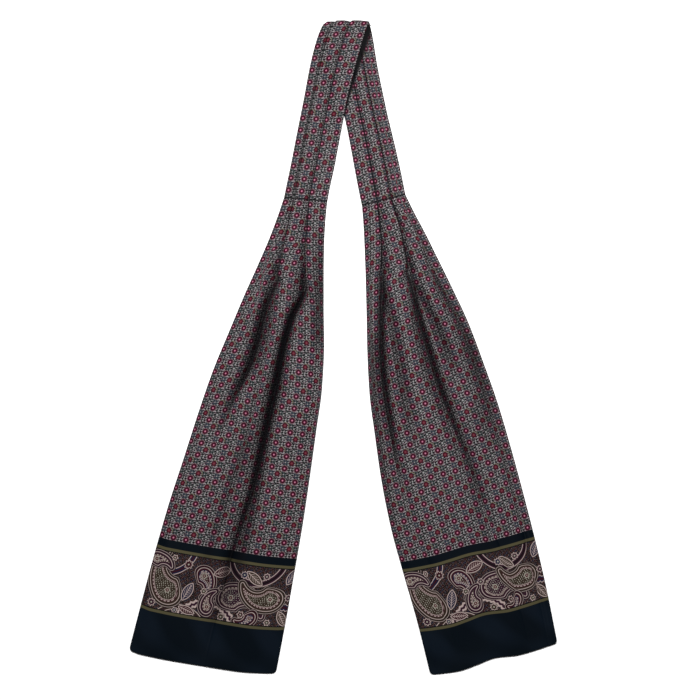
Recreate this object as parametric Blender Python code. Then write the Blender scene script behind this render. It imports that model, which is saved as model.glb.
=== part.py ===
"""Silk cravat laid flat, its pleated neckband folded over once, with two wide blades below.

Lengths in the tables are millimetres. The frame has X to the viewer's right, Y from the blade
hems up to the fold of the neckband, and Z up from the surface that the cravat lies on.
"""

import math

import bmesh
import bpy
import numpy as np

MM = 0.001

# Cloth and seams
WALL = 1.0
BACK_WALL = 1.0
SEAM_GAP = 0.3
LAYER = 1.75
BASE = BACK_WALL + SEAM_GAP + WALL / 2
CORNER_RADIUS = 4.0
BLADE_LENGTH = 452.0

# Neckband
BAND_THICKNESS = 4.2
BAND_TACK_THICKNESS = 5.0
TURN_INNER_RADIUS = 0.25
BAND_DROOP_RUN = 15.0
BAND_LIFT_START_Y = 152.0
BAND_LIFT_FULL_Y = 206.0

# Outline of each blade, as the share of its length below the tack line and its two edges
OUTLINE = ("share", "left_x", "left_y", "right_x", "right_y")
LEFT_OUTLINE = (
    (0.00, -56.3, 142.5, -15.2, 138.7),
    (0.04, -62.2, 125.2, -16.9, 120.7),
    (0.09, -70.2, 104.0, -18.1, 98.1),
    (0.15, -81.0, 78.9, -18.5, 71.1),
    (0.22, -94.0, 49.9, -18.5, 39.4),
    (0.30, -108.1, 16.3, -18.1, 3.3),
    (0.39, -123.7, -21.5, -20.0, -37.2),
    (0.48, -137.2, -60.2, -25.4, -77.5),
    (0.58, -151.1, -103.5, -31.6, -122.2),
    (0.68, -165.2, -146.7, -38.3, -166.8),
    (0.78, -177.9, -190.4, -46.0, -211.3),
    (0.88, -189.7, -234.3, -53.8, -255.8),
    (1.00, -203.4, -287.1, -63.9, -309.0),
)
RIGHT_OUTLINE = (
    (0.00, 17.7, 134.9, 59.0, 145.5),
    (0.04, 19.1, 116.8, 67.0, 129.2),
    (0.09, 20.2, 94.2, 77.6, 109.3),
    (0.15, 21.2, 67.1, 89.7, 85.0),
    (0.22, 22.0, 35.5, 103.6, 56.6),
    (0.30, 22.7, -0.7, 118.8, 23.9),
    (0.39, 24.7, -41.4, 133.2, -14.2),
    (0.48, 29.8, -81.7, 146.7, -52.6),
    (0.58, 36.3, -126.4, 159.5, -95.9),
    (0.68, 45.2, -170.8, 171.3, -139.5),
    (0.78, 57.1, -214.4, 182.5, -183.3),
    (0.88, 69.6, -257.8, 192.7, -227.3),
    (1.00, 82.7, -310.5, 203.4, -280.5),
)

# How far the hem bows outwards across the blade, and from which share of the length it starts
BOW = ("across", "bow")
LEFT_BOW = ((0.0, 0.0), (0.08, 2.4), (0.35, 4.0), (0.72, 4.2), (0.94, 1.6), (1.0, 0.0))
RIGHT_BOW = (
    (0.0, 0.0), (0.10, 1.8), (0.23, 3.2), (0.36, 1.6), (0.50, -0.6), (0.70, 2.2), (1.0, 0.0),
)
BOW_START = 0.55

# A front section begins at its first edge, with points beside the edge, above the base by a
# height and a share of the first crown
FIRST_EDGE = ("beside", "height", "of_crown")
FIRST_EDGE_POINTS = ((0.0, -0.5, 0.0), (0.0, 0.0, 0.0), (0.7, 0.3, 0.12))
FIRST_STRIP_START = 2.0

# Over each strip of cloth the points rise or lie level up to the fall into the next valley. Along
# is a share of the strip, back is a share of the fall's run, and height is a share of the crown.
STRIP = ("along", "height")
STRIP_RISE = ((0.20, 0.42), (0.65, 0.88))
STRIP_LEVEL = ((0.30, 1.00), (0.70, 1.00))
FALL = ("back", "height")
STRIP_FALL = ((1.00, 0.98), (0.55, 0.78), (0.20, 0.36))
STRIP_POINTS = len(STRIP_LEVEL) + len(STRIP_FALL)
FALL_RUN = 10.0
FALL_SHARE = 0.5

# Beyond the last pleat the cloth rounds down to the other edge
LAST_STRIP = ((0.20, 1.00), (0.42, 0.96), (0.62, 0.84), (0.80, 0.66), (1.00, 0.45))
LAST_MARGIN = 3.2
LAST_EDGE_POINTS = ((0.9, 0.3, 0.20), (0.0, 0.0, 0.0), (0.0, -0.5, 0.0))

# The turns of a pleat. Folded, a point lies at a share of the tucked depth and a distance beside
# the edge, some cloth layers up. Open, it lies at shares of the roll's run and rise.
TURN = ("of_under", "beside", "layers", "along", "rise")
PLEAT_TURNS = (
    (0.5, 0.0, 0, 0.00, 0.00),
    (1.0, 0.9, 0, 0.04, 0.20),
    (1.0, 0.9, 1, 0.12, 0.42),
    (0.5, 0.0, 1, 0.26, 0.63),
    (0.0, -0.7, 1, 0.46, 0.81),
    (0.0, -0.9, 2, 0.70, 0.94),
)
PLEAT_POINTS = len(PLEAT_TURNS) + 2
SHARP_TURNS = (2, 5)
PLEAT_BEYOND = 2.2
PLEAT_FLOOR_RUN = 3.0
PLEAT_FLOOR_SHARE = 0.2
PLEAT_OPENS = 2.0
ROLL_RUN = 13.0
ROLL_SHARE = 0.6

# Knife pleats. The cloth beyond a fold edge lies over the cloth before it. Across is the place of
# the edge as a share of the width. Under is the depth of cloth tucked below the edge, and once it
# is negative the pleat has opened into a valley that starts that far before it. Crown is the
# height of the cloth beyond, and depth is how much of that height the valley before it has.
PLEAT = ("share", "across", "under", "crown", "depth")
LEFT_OUTER_PLEAT = (
    (0.00, 0.262, 5.5, 3.6, 1.00),
    (0.08, 0.303, 4.8, 4.0, 1.00),
    (0.15, 0.335, 2.6, 7.0, 1.00),
    (0.18, 0.349, 0.2, 8.2, 1.00),
    (0.21, 0.362, -3.0, 9.8, 1.00),
    (0.27, 0.390, -6.6, 12.0, 1.00),
    (0.34, 0.384, -5.8, 12.6, 1.00),
    (0.39, 0.370, -6.6, 12.4, 0.95),
    (0.44, 0.345, -9.0, 11.4, 0.75),
    (0.49, 0.325, -10.0, 10.2, 0.35),
    (0.54, 0.300, -11.0, 9.2, 0.05),
    (0.66, 0.270, -12.0, 7.4, 0.00),
    (0.82, 0.250, -12.0, 4.2, 0.00),
    (1.00, 0.230, -12.0, 0.5, 0.00),
)
LEFT_INNER_PLEAT = (
    (0.00, 0.602, 6.5, 3.7, 1.00),
    (0.05, 0.664, 6.2, 4.4, 1.00),
    (0.10, 0.686, 5.0, 5.6, 1.00),
    (0.15, 0.738, 2.6, 7.2, 1.00),
    (0.20, 0.757, -1.0, 9.8, 1.00),
    (0.26, 0.700, -6.2, 13.4, 1.00),
    (0.32, 0.655, -6.2, 14.0, 1.00),
    (0.42, 0.643, -5.2, 13.6, 1.00),
    (0.53, 0.630, -4.2, 12.2, 1.00),
    (0.62, 0.622, -4.2, 10.8, 1.00),
    (0.70, 0.608, -6.0, 9.4, 1.00),
    (0.78, 0.585, -6.5, 7.0, 1.00),
    (0.88, 0.575, -7.0, 4.0, 0.90),
    (1.00, 0.570, -8.0, 0.6, 0.60),
)
RIGHT_OUTER_PLEAT = (
    (0.00, 0.170, -1.8, 0.7, 1.00),
    (0.03, 0.145, -1.6, 1.8, 1.00),
    (0.05, 0.124, -1.0, 2.8, 1.00),
    (0.08, 0.120, 0.0, 3.7, 1.00),
    (0.11, 0.130, 0.9, 4.4, 1.00),
    (0.15, 0.150, 0.6, 6.0, 1.00),
    (0.21, 0.160, -3.0, 8.6, 1.00),
    (0.27, 0.150, -5.0, 9.6, 1.00),
    (0.34, 0.140, -6.0, 10.0, 1.00),
    (0.44, 0.135, -6.0, 9.0, 1.00),
    (0.54, 0.130, -6.0, 7.4, 1.00),
    (0.66, 0.120, -6.0, 5.4, 1.00),
    (0.80, 0.120, -6.0, 3.0, 1.00),
    (1.00, 0.120, -6.0, 0.4, 1.00),
)
RIGHT_MIDDLE_PLEAT = (
    (0.00, 0.362, 5.0, 3.6, 1.00),
    (0.05, 0.368, 4.8, 4.0, 1.00),
    (0.10, 0.402, 4.0, 5.2, 1.00),
    (0.15, 0.436, 1.8, 7.8, 1.00),
    (0.20, 0.476, -3.0, 10.4, 1.00),
    (0.27, 0.488, -3.4, 12.0, 1.00),
    (0.34, 0.472, -3.4, 12.2, 1.00),
    (0.42, 0.446, -3.4, 11.2, 1.00),
    (0.50, 0.412, -3.4, 10.0, 0.85),
    (0.58, 0.366, -3.6, 8.8, 0.65),
    (0.66, 0.345, -5.0, 7.4, 0.40),
    (0.74, 0.330, -7.0, 6.0, 0.10),
    (0.85, 0.310, -9.0, 4.0, 0.00),
    (1.00, 0.290, -10.0, 0.6, 0.00),
)
RIGHT_INNER_PLEAT = (
    (0.00, 0.680, 6.5, 3.7, 1.00),
    (0.04, 0.705, 6.0, 4.0, 1.00),
    (0.08, 0.734, 5.0, 5.0, 1.00),
    (0.13, 0.780, 2.4, 7.4, 1.00),
    (0.18, 0.832, -2.4, 9.0, 1.00),
    (0.25, 0.892, -3.4, 9.6, 1.00),
    (0.34, 0.908, -3.6, 9.4, 1.00),
    (0.44, 0.903, -3.6, 8.2, 0.95),
    (0.52, 0.900, -4.0, 6.8, 0.60),
    (0.60, 0.890, -5.0, 5.6, 0.20),
    (0.74, 0.870, -7.0, 4.0, 0.00),
    (1.00, 0.840, -8.0, 0.4, 0.00),
)

# Low creases that never fold over, as a ridge of the given rise and half width
RIPPLE = ("share", "across", "rise", "half_width")
LEFT_TUCK = (
    (0.24, 0.445, 0.0, 6.0),
    (0.32, 0.460, 1.0, 8.0),
    (0.42, 0.472, 2.0, 11.0),
    (0.52, 0.455, 2.2, 14.0),
    (0.64, 0.412, 1.8, 16.0),
    (0.76, 0.392, 1.0, 18.0),
    (0.90, 0.385, 0.0, 20.0),
)
LEFT_EDGE_TUCK = (
    (0.09, 0.120, 0.0, 4.0),
    (0.15, 0.150, 0.9, 6.0),
    (0.23, 0.205, 1.3, 9.0),
    (0.32, 0.190, 0.7, 12.0),
    (0.42, 0.180, 0.0, 14.0),
)
RIGHT_TUCK = (
    (0.12, 0.360, 0.0, 5.0),
    (0.17, 0.385, -2.5, 7.0),
    (0.22, 0.368, -4.5, 8.0),
    (0.28, 0.332, -5.0, 9.0),
    (0.34, 0.300, -4.5, 9.0),
    (0.39, 0.275, -2.5, 9.0),
    (0.46, 0.250, 0.0, 9.0),
)
RIGHT_TROUGH = (
    (0.16, 0.790, 0.0, 6.0),
    (0.21, 0.770, -2.5, 8.0),
    (0.28, 0.722, -4.5, 10.0),
    (0.36, 0.705, -4.5, 10.0),
    (0.44, 0.712, -3.5, 10.0),
    (0.52, 0.700, -1.2, 10.0),
    (0.60, 0.690, 0.0, 10.0),
)
RIPPLE_FLOOR = 0.2

# Height of the strip of cloth between a blade's first edge and its first pleat
EDGE_CROWN = ("share", "crown")
LEFT_EDGE_CROWN = (
    (0.0, 0.5), (0.12, 2.4), (0.20, 6.0), (0.30, 8.0), (0.42, 8.5),
    (0.55, 8.0), (0.70, 6.0), (0.85, 3.0), (1.0, 0.4),
)
RIGHT_EDGE_CROWN = (
    (0.0, 0.3), (0.12, 0.6), (0.25, 1.0), (0.4, 1.2), (0.6, 1.4), (0.8, 1.2), (1.0, 0.4),
)

# Cross sections of a blade, as shares of its length, with extra ones round the hem corners
BLADE_SHARES = (
    0.0, 0.022, 0.045, 0.07, 0.10, 0.13, 0.15, 0.165, 0.18, 0.20, 0.225, 0.25, 0.285, 0.32, 0.36,
    0.40, 0.445, 0.49, 0.54, 0.59, 0.65, 0.71, 0.77, 0.83, 0.89, 0.95, 0.991, 0.9956, 0.9985, 1.0,
)
BACK_PLACES = (0.0, 0.1, 0.23, 0.36, 0.5, 0.7, 0.9, 1.0)

# Outline of each stretch of the neckband from the fold down to the tack line
LEFT_BAND_OUTLINE = (
    (0.00, -15.9, 310.4, 24.8, 310.4),
    (0.03, -19.2, 306.0, 23.3, 306.0),
    (0.07, -22.2, 300.2, 20.8, 298.8),
    (0.12, -25.3, 292.2, 18.2, 290.4),
    (0.18, -28.2, 282.2, 15.4, 280.2),
    (0.25, -31.0, 270.4, 12.1, 268.3),
    (0.33, -33.7, 256.9, 8.5, 254.3),
    (0.42, -36.5, 241.6, 4.6, 238.8),
    (0.52, -39.8, 224.6, 1.1, 221.6),
    (0.62, -43.2, 207.6, -2.2, 204.4),
    (0.72, -46.5, 190.7, -5.4, 187.2),
    (0.82, -49.8, 173.7, -8.7, 170.0),
    (0.91, -53.0, 158.4, -12.1, 154.8),
    (1.00, -56.2, 142.8, -15.1, 139.0),
)
RIGHT_BAND_OUTLINE = (
    (0.00, -15.6, 305.6, 25.6, 305.6),
    (0.05, -14.3, 300.2, 26.8, 300.6),
    (0.12, -11.9, 289.0, 28.8, 290.2),
    (0.18, -10.0, 278.5, 30.3, 280.3),
    (0.25, -8.0, 266.2, 32.2, 268.8),
    (0.33, -5.6, 252.2, 34.7, 255.8),
    (0.42, -2.6, 236.6, 37.8, 241.0),
    (0.52, 1.2, 219.2, 41.2, 224.9),
    (0.62, 4.8, 201.9, 45.0, 208.9),
    (0.72, 8.1, 184.4, 48.9, 192.6),
    (0.82, 11.3, 166.9, 52.7, 176.2),
    (0.91, 14.3, 151.2, 55.9, 161.0),
    (1.00, 17.6, 135.2, 58.9, 145.8),
)
LEFT_BAND_STEPS = (0.25, 0.61)
RIGHT_BAND_STEPS = (0.342, 0.648)
TURN_ANGLES = (20, 45, 70, 90, 110, 135, 160, 180)

# Section of the band: shares of the width beneath, then distances in from each edge or beside
# each pleat's edge, with heights as shares of the thickness
BAND_UNDERSIDE = (0.015, 0.25, 0.5, 0.75, 0.985)
BAND_EDGE = ("inset", "height")
BAND_FAR_EDGE = ((0.0, 0.22), (0.0, 0.50), (0.5, 0.68), (3.0, 0.80))
BAND_NEAR_EDGE = ((3.0, 0.86), (0.5, 0.72), (0.0, 0.50), (0.0, 0.22))
BAND_PLEAT = ("beside", "height")
BAND_STEP = (
    (4.5, 0.96),
    (0.6, 1.00),
    (-0.1, 0.90),
    (0.0, 0.80),
    (1.4, 0.77),
    (1.4, 0.68),
    (-0.7, 0.70),
)
BAND_STRIP_MIDDLE = 0.55
BAND_STRIP_HEIGHT = 0.86

# Colour and roughness of each node
FINISHES = {
    "left_blade_front": ((0.20, 0.13, 0.13), 0.45),
    "right_blade_front": ((0.20, 0.14, 0.13), 0.45),
    "left_blade_back": ((0.15, 0.10, 0.11), 0.50),
    "right_blade_back": ((0.15, 0.11, 0.10), 0.50),
    "neckband_left": ((0.22, 0.14, 0.14), 0.45),
    "neckband_right": ((0.18, 0.12, 0.12), 0.45),
}


def column(table, names, name):
    """One named column of a table."""
    return np.array([row[names.index(name)] for row in table], float)


def read(table, names, name, at):
    """A column's smooth value at a place in the table's first column, with no overshoot."""
    x = column(table, names, names[0])
    y = column(table, names, name)
    step = np.diff(x)
    rise = np.diff(y) / step
    slope = np.zeros(len(x))
    for i in range(1, len(x) - 1):
        if rise[i - 1] * rise[i] > 0:
            slope[i] = 2 * rise[i - 1] * rise[i] / (rise[i - 1] + rise[i])
    slope[0] = rise[0]
    slope[-1] = rise[-1]
    place = float(np.clip(at, x[0], x[-1]))
    i = int(np.clip(np.searchsorted(x, place) - 1, 0, len(x) - 2))
    t = (place - x[i]) / step[i]
    start = y[i] * (1 + 2 * t) * (1 - t) ** 2 + y[i + 1] * t * t * (3 - 2 * t)
    return start + step[i] * (slope[i] * t * (1 - t) ** 2 - slope[i + 1] * t * t * (1 - t))


def smooth_step(low, high, value):
    """0 below low, 1 above high and a soft S between."""
    t = min(max((value - low) / (high - low), 0.0), 1.0)
    return t * t * (3 - 2 * t)


def read_row(table, names, at):
    """All columns but the first at one place."""
    return [read(table, names, name, at) for name in names[1:]]


def pleat_points(edge, under, crown, bottom, room):
    """Control points across one pleat, from the valley before it to the crown beyond its edge."""
    folded = smooth_step(-PLEAT_OPENS, PLEAT_OPENS, under)
    floor = min(PLEAT_FLOOR_RUN * (0.5 + 0.5 * folded), PLEAT_FLOOR_SHARE * edge)
    roll = min(ROLL_RUN, ROLL_SHARE * room)
    points = [(min(edge, edge + under) - floor, BASE + bottom)]
    for of_under, beside, layers, along, rise in PLEAT_TURNS:
        x = folded * (of_under * under + beside) + (1 - folded) * (under + along * roll)
        z = folded * layers * LAYER + (1 - folded) * (bottom + rise * (crown - bottom))
        points.append((edge + x, BASE + z))
    beyond = folded * PLEAT_BEYOND + (1 - folded) * (under + roll)
    points.append((edge + beyond, BASE + crown))
    return points


def strip_points(start, end, crown, bottom, first):
    """Control points over a strip of cloth, up to the valley that ends it."""
    fall = min(FALL_RUN, FALL_SHARE * (end - start))
    shape = STRIP_RISE if first else STRIP_LEVEL
    run = end - fall - start
    points = [(start + run * along, BASE + crown * height) for along, height in shape]
    for back, height in STRIP_FALL:
        points.append((end - fall * back, BASE + bottom + (crown - bottom) * height))
    return points


def section_controls(share, width, pleats, edge_crown):
    """Control points of a front panel's middle surface, from its low edge to its high edge."""
    crown = read(edge_crown, EDGE_CROWN, "crown", share)
    points = [
        (WALL / 2 + beside, BASE + height + of_crown * crown)
        for beside, height, of_crown in FIRST_EDGE_POINTS
    ]
    start = FIRST_STRIP_START
    folds = [read_row(table, PLEAT, share) for table in pleats]
    feet = [across * width + min(under, 0.0) for across, under, _, _ in folds] + [width]
    for k, (across, under, beyond, depth) in enumerate(folds):
        bottom = (1 - depth) * min(crown, beyond)
        room = feet[k + 1] - feet[k] - PLEAT_FLOOR_RUN
        pleat = pleat_points(across * width, under, beyond, bottom, room)
        points += strip_points(start, pleat[0][0], crown, bottom, k == 0)
        points += pleat
        start = pleat[-1][0]
        crown = beyond
    run = width - LAST_MARGIN - start
    points += [(start + run * along, BASE + crown * height) for along, height in LAST_STRIP]
    points += [
        (width - WALL / 2 - beside, BASE + height + of_crown * crown)
        for beside, height, of_crown in LAST_EDGE_POINTS
    ]
    return np.array(points)


def add_ripple(points, share, width, table):
    """Lifts control points over a low crease."""
    places = column(table, RIPPLE, "share")
    if not places[0] < share < places[-1]:
        return
    across, rise, half = read_row(table, RIPPLE, share)
    near = np.clip(1 - np.abs(points[:, 0] - across * width) / half, 0, 1)
    lifted = points[:, 1] > BASE + RIPPLE_FLOOR
    points[:, 1] += lifted * rise * near * near * (3 - 2 * near)
    points[lifted, 1] = np.maximum(points[lifted, 1], BASE)


def spline(points, places):
    """A uniform cubic B-spline with its ends pinned, at places counted in control points."""
    ends = [2 * points[0] - points[1], *points, 2 * points[-1] - points[-2]]
    line = np.array(ends)
    found = []
    for place in places:
        i = min(int(place), len(points) - 2)
        t = place - i
        weights = (
            (1 - t) ** 3 / 6,
            (3 * t ** 3 - 6 * t * t + 4) / 6,
            (-3 * t ** 3 + 3 * t * t + 3 * t + 1) / 6,
            t ** 3 / 6,
        )
        found.append(sum(w * line[i + k] for k, w in enumerate(weights)))
    return np.array(found)


def sample_places(count, pleats):
    """Places along a section: each control point, and the middles of the two turns of a pleat."""
    places = list(range(count))
    for k in range(pleats):
        first = len(FIRST_EDGE_POINTS) + STRIP_POINTS + k * (STRIP_POINTS + PLEAT_POINTS)
        places += [first + turn + 0.5 for turn in SHARP_TURNS]
    return sorted(places)


def offsets(line, distance):
    """Points moved sideways from a line in its own plane."""
    along = np.gradient(line, axis=0)
    along /= np.linalg.norm(along, axis=1)[:, None]
    return line + distance * np.stack([-along[:, 1], along[:, 0]], axis=1)


def blade_place(blade, share, across, height):
    """The point at a distance across a section of a blade and a height above the table."""
    left_x, left_y, right_x, right_y = read_row(blade["outline"], OUTLINE, share)
    start = np.array([left_x, left_y])
    end = np.array([right_x, right_y])
    if blade["mirrored"]:
        start, end = end, start
    width = np.linalg.norm(end - start)
    inset = corner_inset(share)
    t = (inset + across * (width - 2 * inset) / width) / width
    down = np.array([end[1] - start[1], start[0] - end[0]]) / width
    if blade["mirrored"]:
        down = -down
    from_left = 1 - t if blade["mirrored"] else t
    bow = read(blade["bow"], BOW, "bow", from_left) * smooth_step(BOW_START, 1.0, share)
    plan = start + (end - start) * t + down * bow
    return plan[0], plan[1], height


def corner_inset(share):
    """How far the rounded hem corner draws the sides in."""
    left = max(CORNER_RADIUS - (1 - share) * BLADE_LENGTH, 0.0)
    return CORNER_RADIUS - math.sqrt(max(CORNER_RADIUS ** 2 - left ** 2, 0.0))


def blade_width(blade, share):
    """The width of a blade at a share of its length."""
    left_x, left_y, right_x, right_y = read_row(blade["outline"], OUTLINE, share)
    return math.hypot(right_x - left_x, right_y - left_y)


def front_grids(blade):
    """The outer and inner points of a front panel, row by row from the tack line to the hem."""
    outer = []
    inner = []
    for share in BLADE_SHARES:
        width = blade_width(blade, share)
        controls = section_controls(share, width, blade["pleats"], blade["edge_crown"])
        for ripple in blade["ripples"]:
            add_ripple(controls, share, width, ripple)
        line = spline(controls, sample_places(len(controls), len(blade["pleats"])))
        rows = (outer, offsets(line, WALL / 2)), (inner, offsets(line, -WALL / 2))
        for grid, moved in rows:
            grid.append([blade_place(blade, share, x, z) for x, z in moved])
    return outer, inner


def back_grids(blade):
    """The upper and lower points of a back panel."""
    upper = []
    lower = []
    for share in BLADE_SHARES:
        width = blade_width(blade, share)
        places = [width * at for at in BACK_PLACES]
        upper.append([blade_place(blade, share, x, BACK_WALL) for x in places])
        lower.append([blade_place(blade, share, x, 0.0) for x in places])
    return upper, lower


def band_ring(width, steps, thickness, mirrored):
    """The closed outline of the pleated band, flat beneath, with a stepped edge for each pleat."""
    ring = [(width * at, 0.0) for at in BAND_UNDERSIDE]
    ring += [(width - inset, height * thickness) for inset, height in BAND_FAR_EDGE]
    edges = [width * at for at in steps]
    for edge, before in zip(reversed(edges), reversed([0.0, *edges[:-1]])):
        ring += [(edge + beside, height * thickness) for beside, height in BAND_STEP]
        middle = before + BAND_STRIP_MIDDLE * (edge - before)
        ring.append((middle, BAND_STRIP_HEIGHT * thickness))
    ring += [(inset, height * thickness) for inset, height in BAND_NEAR_EDGE]
    if mirrored:
        ring = [(width - x, z) for x, z in reversed(ring)]
    return ring


def under_left_band(y):
    """The left edge of the right stretch of the band at a place down from the fold."""
    xs = column(RIGHT_BAND_OUTLINE, OUTLINE, "left_x")
    ys = column(RIGHT_BAND_OUTLINE, OUTLINE, "left_y")
    return float(np.interp(-y, -ys, xs))


def band_lift(x, y):
    """How high the left stretch rides where it crosses the right one."""
    top = BAND_THICKNESS + 2 * TURN_INNER_RADIUS
    over = smooth_step(-BAND_DROOP_RUN, -1.0, x - under_left_band(y))
    leaving = smooth_step(BAND_LIFT_START_Y, BAND_LIFT_FULL_Y, y)
    return top * over * leaving


def band_rings(outline, steps, mirrored, lifted):
    """Rings of points of one stretch of the band, from the fold down to the tack line."""
    rings = []
    for row in outline:
        share, left_x, left_y, right_x, right_y = row
        thickness = BAND_THICKNESS
        thickness += (BAND_TACK_THICKNESS - BAND_THICKNESS) * smooth_step(0.3, 1.0, share)
        start = np.array([left_x, left_y])
        end = np.array([right_x, right_y])
        width = np.linalg.norm(end - start)
        ring = []
        for x, z in band_ring(width, steps, thickness, mirrored):
            plan = start + (end - start) * x / width
            rise = band_lift(plan[0], plan[1]) if lifted else 0.0
            ring.append((plan[0], plan[1], z + rise))
        rings.append(ring)
    return rings


def turn_rings(outline, steps):
    """Rings round the fold of the neckband, from the layer beneath up to the top layer."""
    rings = []
    left_x, left_y, right_x, _ = outline[0][1:]
    next_left = outline[1][1]
    next_right = outline[1][3]
    radius = BAND_THICKNESS + TURN_INNER_RADIUS
    centre_y = left_y - radius
    for degrees in reversed(TURN_ANGLES):
        angle = math.radians(degrees)
        out = math.sin(angle)
        upper = 0.5 + 0.5 * math.cos(angle)
        start = left_x + (next_left - left_x) * (1 - out) * (2 * upper - 1)
        end = right_x + (next_right - right_x) * (1 - out) * (2 * upper - 1)
        ring = []
        for x, z in band_ring(end - start, steps, BAND_THICKNESS, False):
            reach = TURN_INNER_RADIUS + z
            ring.append((start + x, centre_y + reach * out, radius + reach * math.cos(angle)))
        rings.append(ring)
    return rings


def add_object(name, points, faces):
    """A named smooth object in metres with its own material, its faces turned outwards."""
    mesh = bpy.data.meshes.new(name)
    mesh.from_pydata([tuple(c * MM for c in point) for point in points], [], faces)
    mesh.update()
    work = bmesh.new()
    work.from_mesh(mesh)
    bmesh.ops.recalc_face_normals(work, faces=work.faces)
    work.to_mesh(mesh)
    work.free()
    for polygon in mesh.polygons:
        polygon.use_smooth = True
    item = bpy.data.objects.new(name, mesh)
    bpy.context.scene.collection.objects.link(item)
    material = bpy.data.materials.new(name)
    material.use_nodes = True
    colour, roughness = FINISHES[name]
    shader = material.node_tree.nodes["Principled BSDF"]
    shader.inputs["Base Color"].default_value = (*colour, 1.0)
    shader.inputs["Roughness"].default_value = roughness
    shader.inputs["Sheen Weight"].default_value = 0.2
    material.diffuse_color = (*colour, 1.0)
    mesh.materials.append(material)
    return item


def add_wall(name, upper, lower):
    """A closed wall between two grids of points."""
    rows = len(upper)
    across = len(upper[0])
    points = [p for grid in (upper, lower) for row in grid for p in row]
    size = rows * across

    def place(layer, row, step):
        return layer * size + row * across + step

    faces = []
    for row in range(rows - 1):
        for step in range(across - 1):
            near = place(0, row, step)
            far = place(0, row + 1, step + 1)
            below = place(0, row + 1, step)
            beside = place(0, row, step + 1)
            for triangle in ((near, below, far), (near, far, beside)):
                faces.append(triangle)
                faces.append(tuple(size + corner for corner in reversed(triangle)))
    rim = [(0, step) for step in range(across)]
    rim += [(row, across - 1) for row in range(1, rows)]
    rim += [(rows - 1, step) for step in range(across - 2, -1, -1)]
    rim += [(row, 0) for row in range(rows - 2, 0, -1)]
    for here, there in zip(rim, rim[1:] + rim[:1]):
        faces.append((place(0, *here), place(0, *there), place(1, *there), place(1, *here)))
    return add_object(name, points, faces)


def add_band(name, rings):
    """A closed solid through rings of points, with flat ends."""
    count = len(rings[0])
    points = [p for ring in rings for p in ring]
    faces = []
    for k in range(len(rings) - 1):
        for i in range(count):
            j = (i + 1) % count
            faces.append((k * count + i, (k + 1) * count + i, (k + 1) * count + j, k * count + j))
    last = len(points) - count
    faces.append(tuple(range(count)))
    faces.append(tuple(reversed(range(last, last + count))))
    return add_object(name, points, faces)


BLADES = {
    "left_blade": {
        "outline": LEFT_OUTLINE,
        "bow": LEFT_BOW,
        "mirrored": False,
        "pleats": (LEFT_OUTER_PLEAT, LEFT_INNER_PLEAT),
        "ripples": (LEFT_TUCK, LEFT_EDGE_TUCK),
        "edge_crown": LEFT_EDGE_CROWN,
    },
    "right_blade": {
        "outline": RIGHT_OUTLINE,
        "bow": RIGHT_BOW,
        "mirrored": True,
        "pleats": (RIGHT_OUTER_PLEAT, RIGHT_MIDDLE_PLEAT, RIGHT_INNER_PLEAT),
        "ripples": (RIGHT_TUCK, RIGHT_TROUGH),
        "edge_crown": RIGHT_EDGE_CROWN,
    },
}


def build():
    """Makes the six pieces of the cravat."""
    for item in list(bpy.data.objects):
        bpy.data.objects.remove(item, do_unlink=True)
    for name, blade in BLADES.items():
        outer, inner = front_grids(blade)
        add_wall(name + "_front", outer, inner)
        upper, lower = back_grids(blade)
        add_wall(name + "_back", upper, lower)
    left = turn_rings(LEFT_BAND_OUTLINE, LEFT_BAND_STEPS)
    left += band_rings(LEFT_BAND_OUTLINE[1:], LEFT_BAND_STEPS, False, True)
    add_band("neckband_left", left)
    right = band_rings(RIGHT_BAND_OUTLINE, RIGHT_BAND_STEPS, True, False)
    add_band("neckband_right", right)


build()
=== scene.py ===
"""The looks of a silk cravat laid flat: printed sheets with painted shade over its solids, and a
plain pale studio.

Lengths in the tables are millimetres, in the frame of the solids: X to the viewer's right, Y from
the blade hems up to the fold of the neckband, and Z up from the surface that the cravat lies on.
"""

import math

import bpy
import numpy as np
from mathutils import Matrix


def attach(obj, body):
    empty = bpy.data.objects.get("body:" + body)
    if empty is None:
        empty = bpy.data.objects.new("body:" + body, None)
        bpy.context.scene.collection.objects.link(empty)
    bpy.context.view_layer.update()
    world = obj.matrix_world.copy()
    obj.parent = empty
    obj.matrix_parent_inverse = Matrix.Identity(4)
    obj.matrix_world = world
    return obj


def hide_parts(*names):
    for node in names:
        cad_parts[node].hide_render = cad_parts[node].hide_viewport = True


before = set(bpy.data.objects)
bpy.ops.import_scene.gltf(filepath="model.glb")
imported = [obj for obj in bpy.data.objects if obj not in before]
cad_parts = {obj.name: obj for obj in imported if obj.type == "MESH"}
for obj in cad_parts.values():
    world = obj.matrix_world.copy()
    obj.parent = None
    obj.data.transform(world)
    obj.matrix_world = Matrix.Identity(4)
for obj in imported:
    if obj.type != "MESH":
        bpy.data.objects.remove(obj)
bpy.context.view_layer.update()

MM = 0.001

# Cloth, as in the solids
WALL = 1.0
BACK_WALL = 1.0
SEAM_GAP = 0.3
LAYER = 1.75
BASE = BACK_WALL + SEAM_GAP + WALL / 2
FLAT_TOP = BASE + WALL / 2
CORNER_RADIUS = 4.0
BLADE_LENGTH = 452.0
CUT_WIDTH = 141.0
LOWEST = 0.03
NEARLY_NONE = 1e-6

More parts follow.
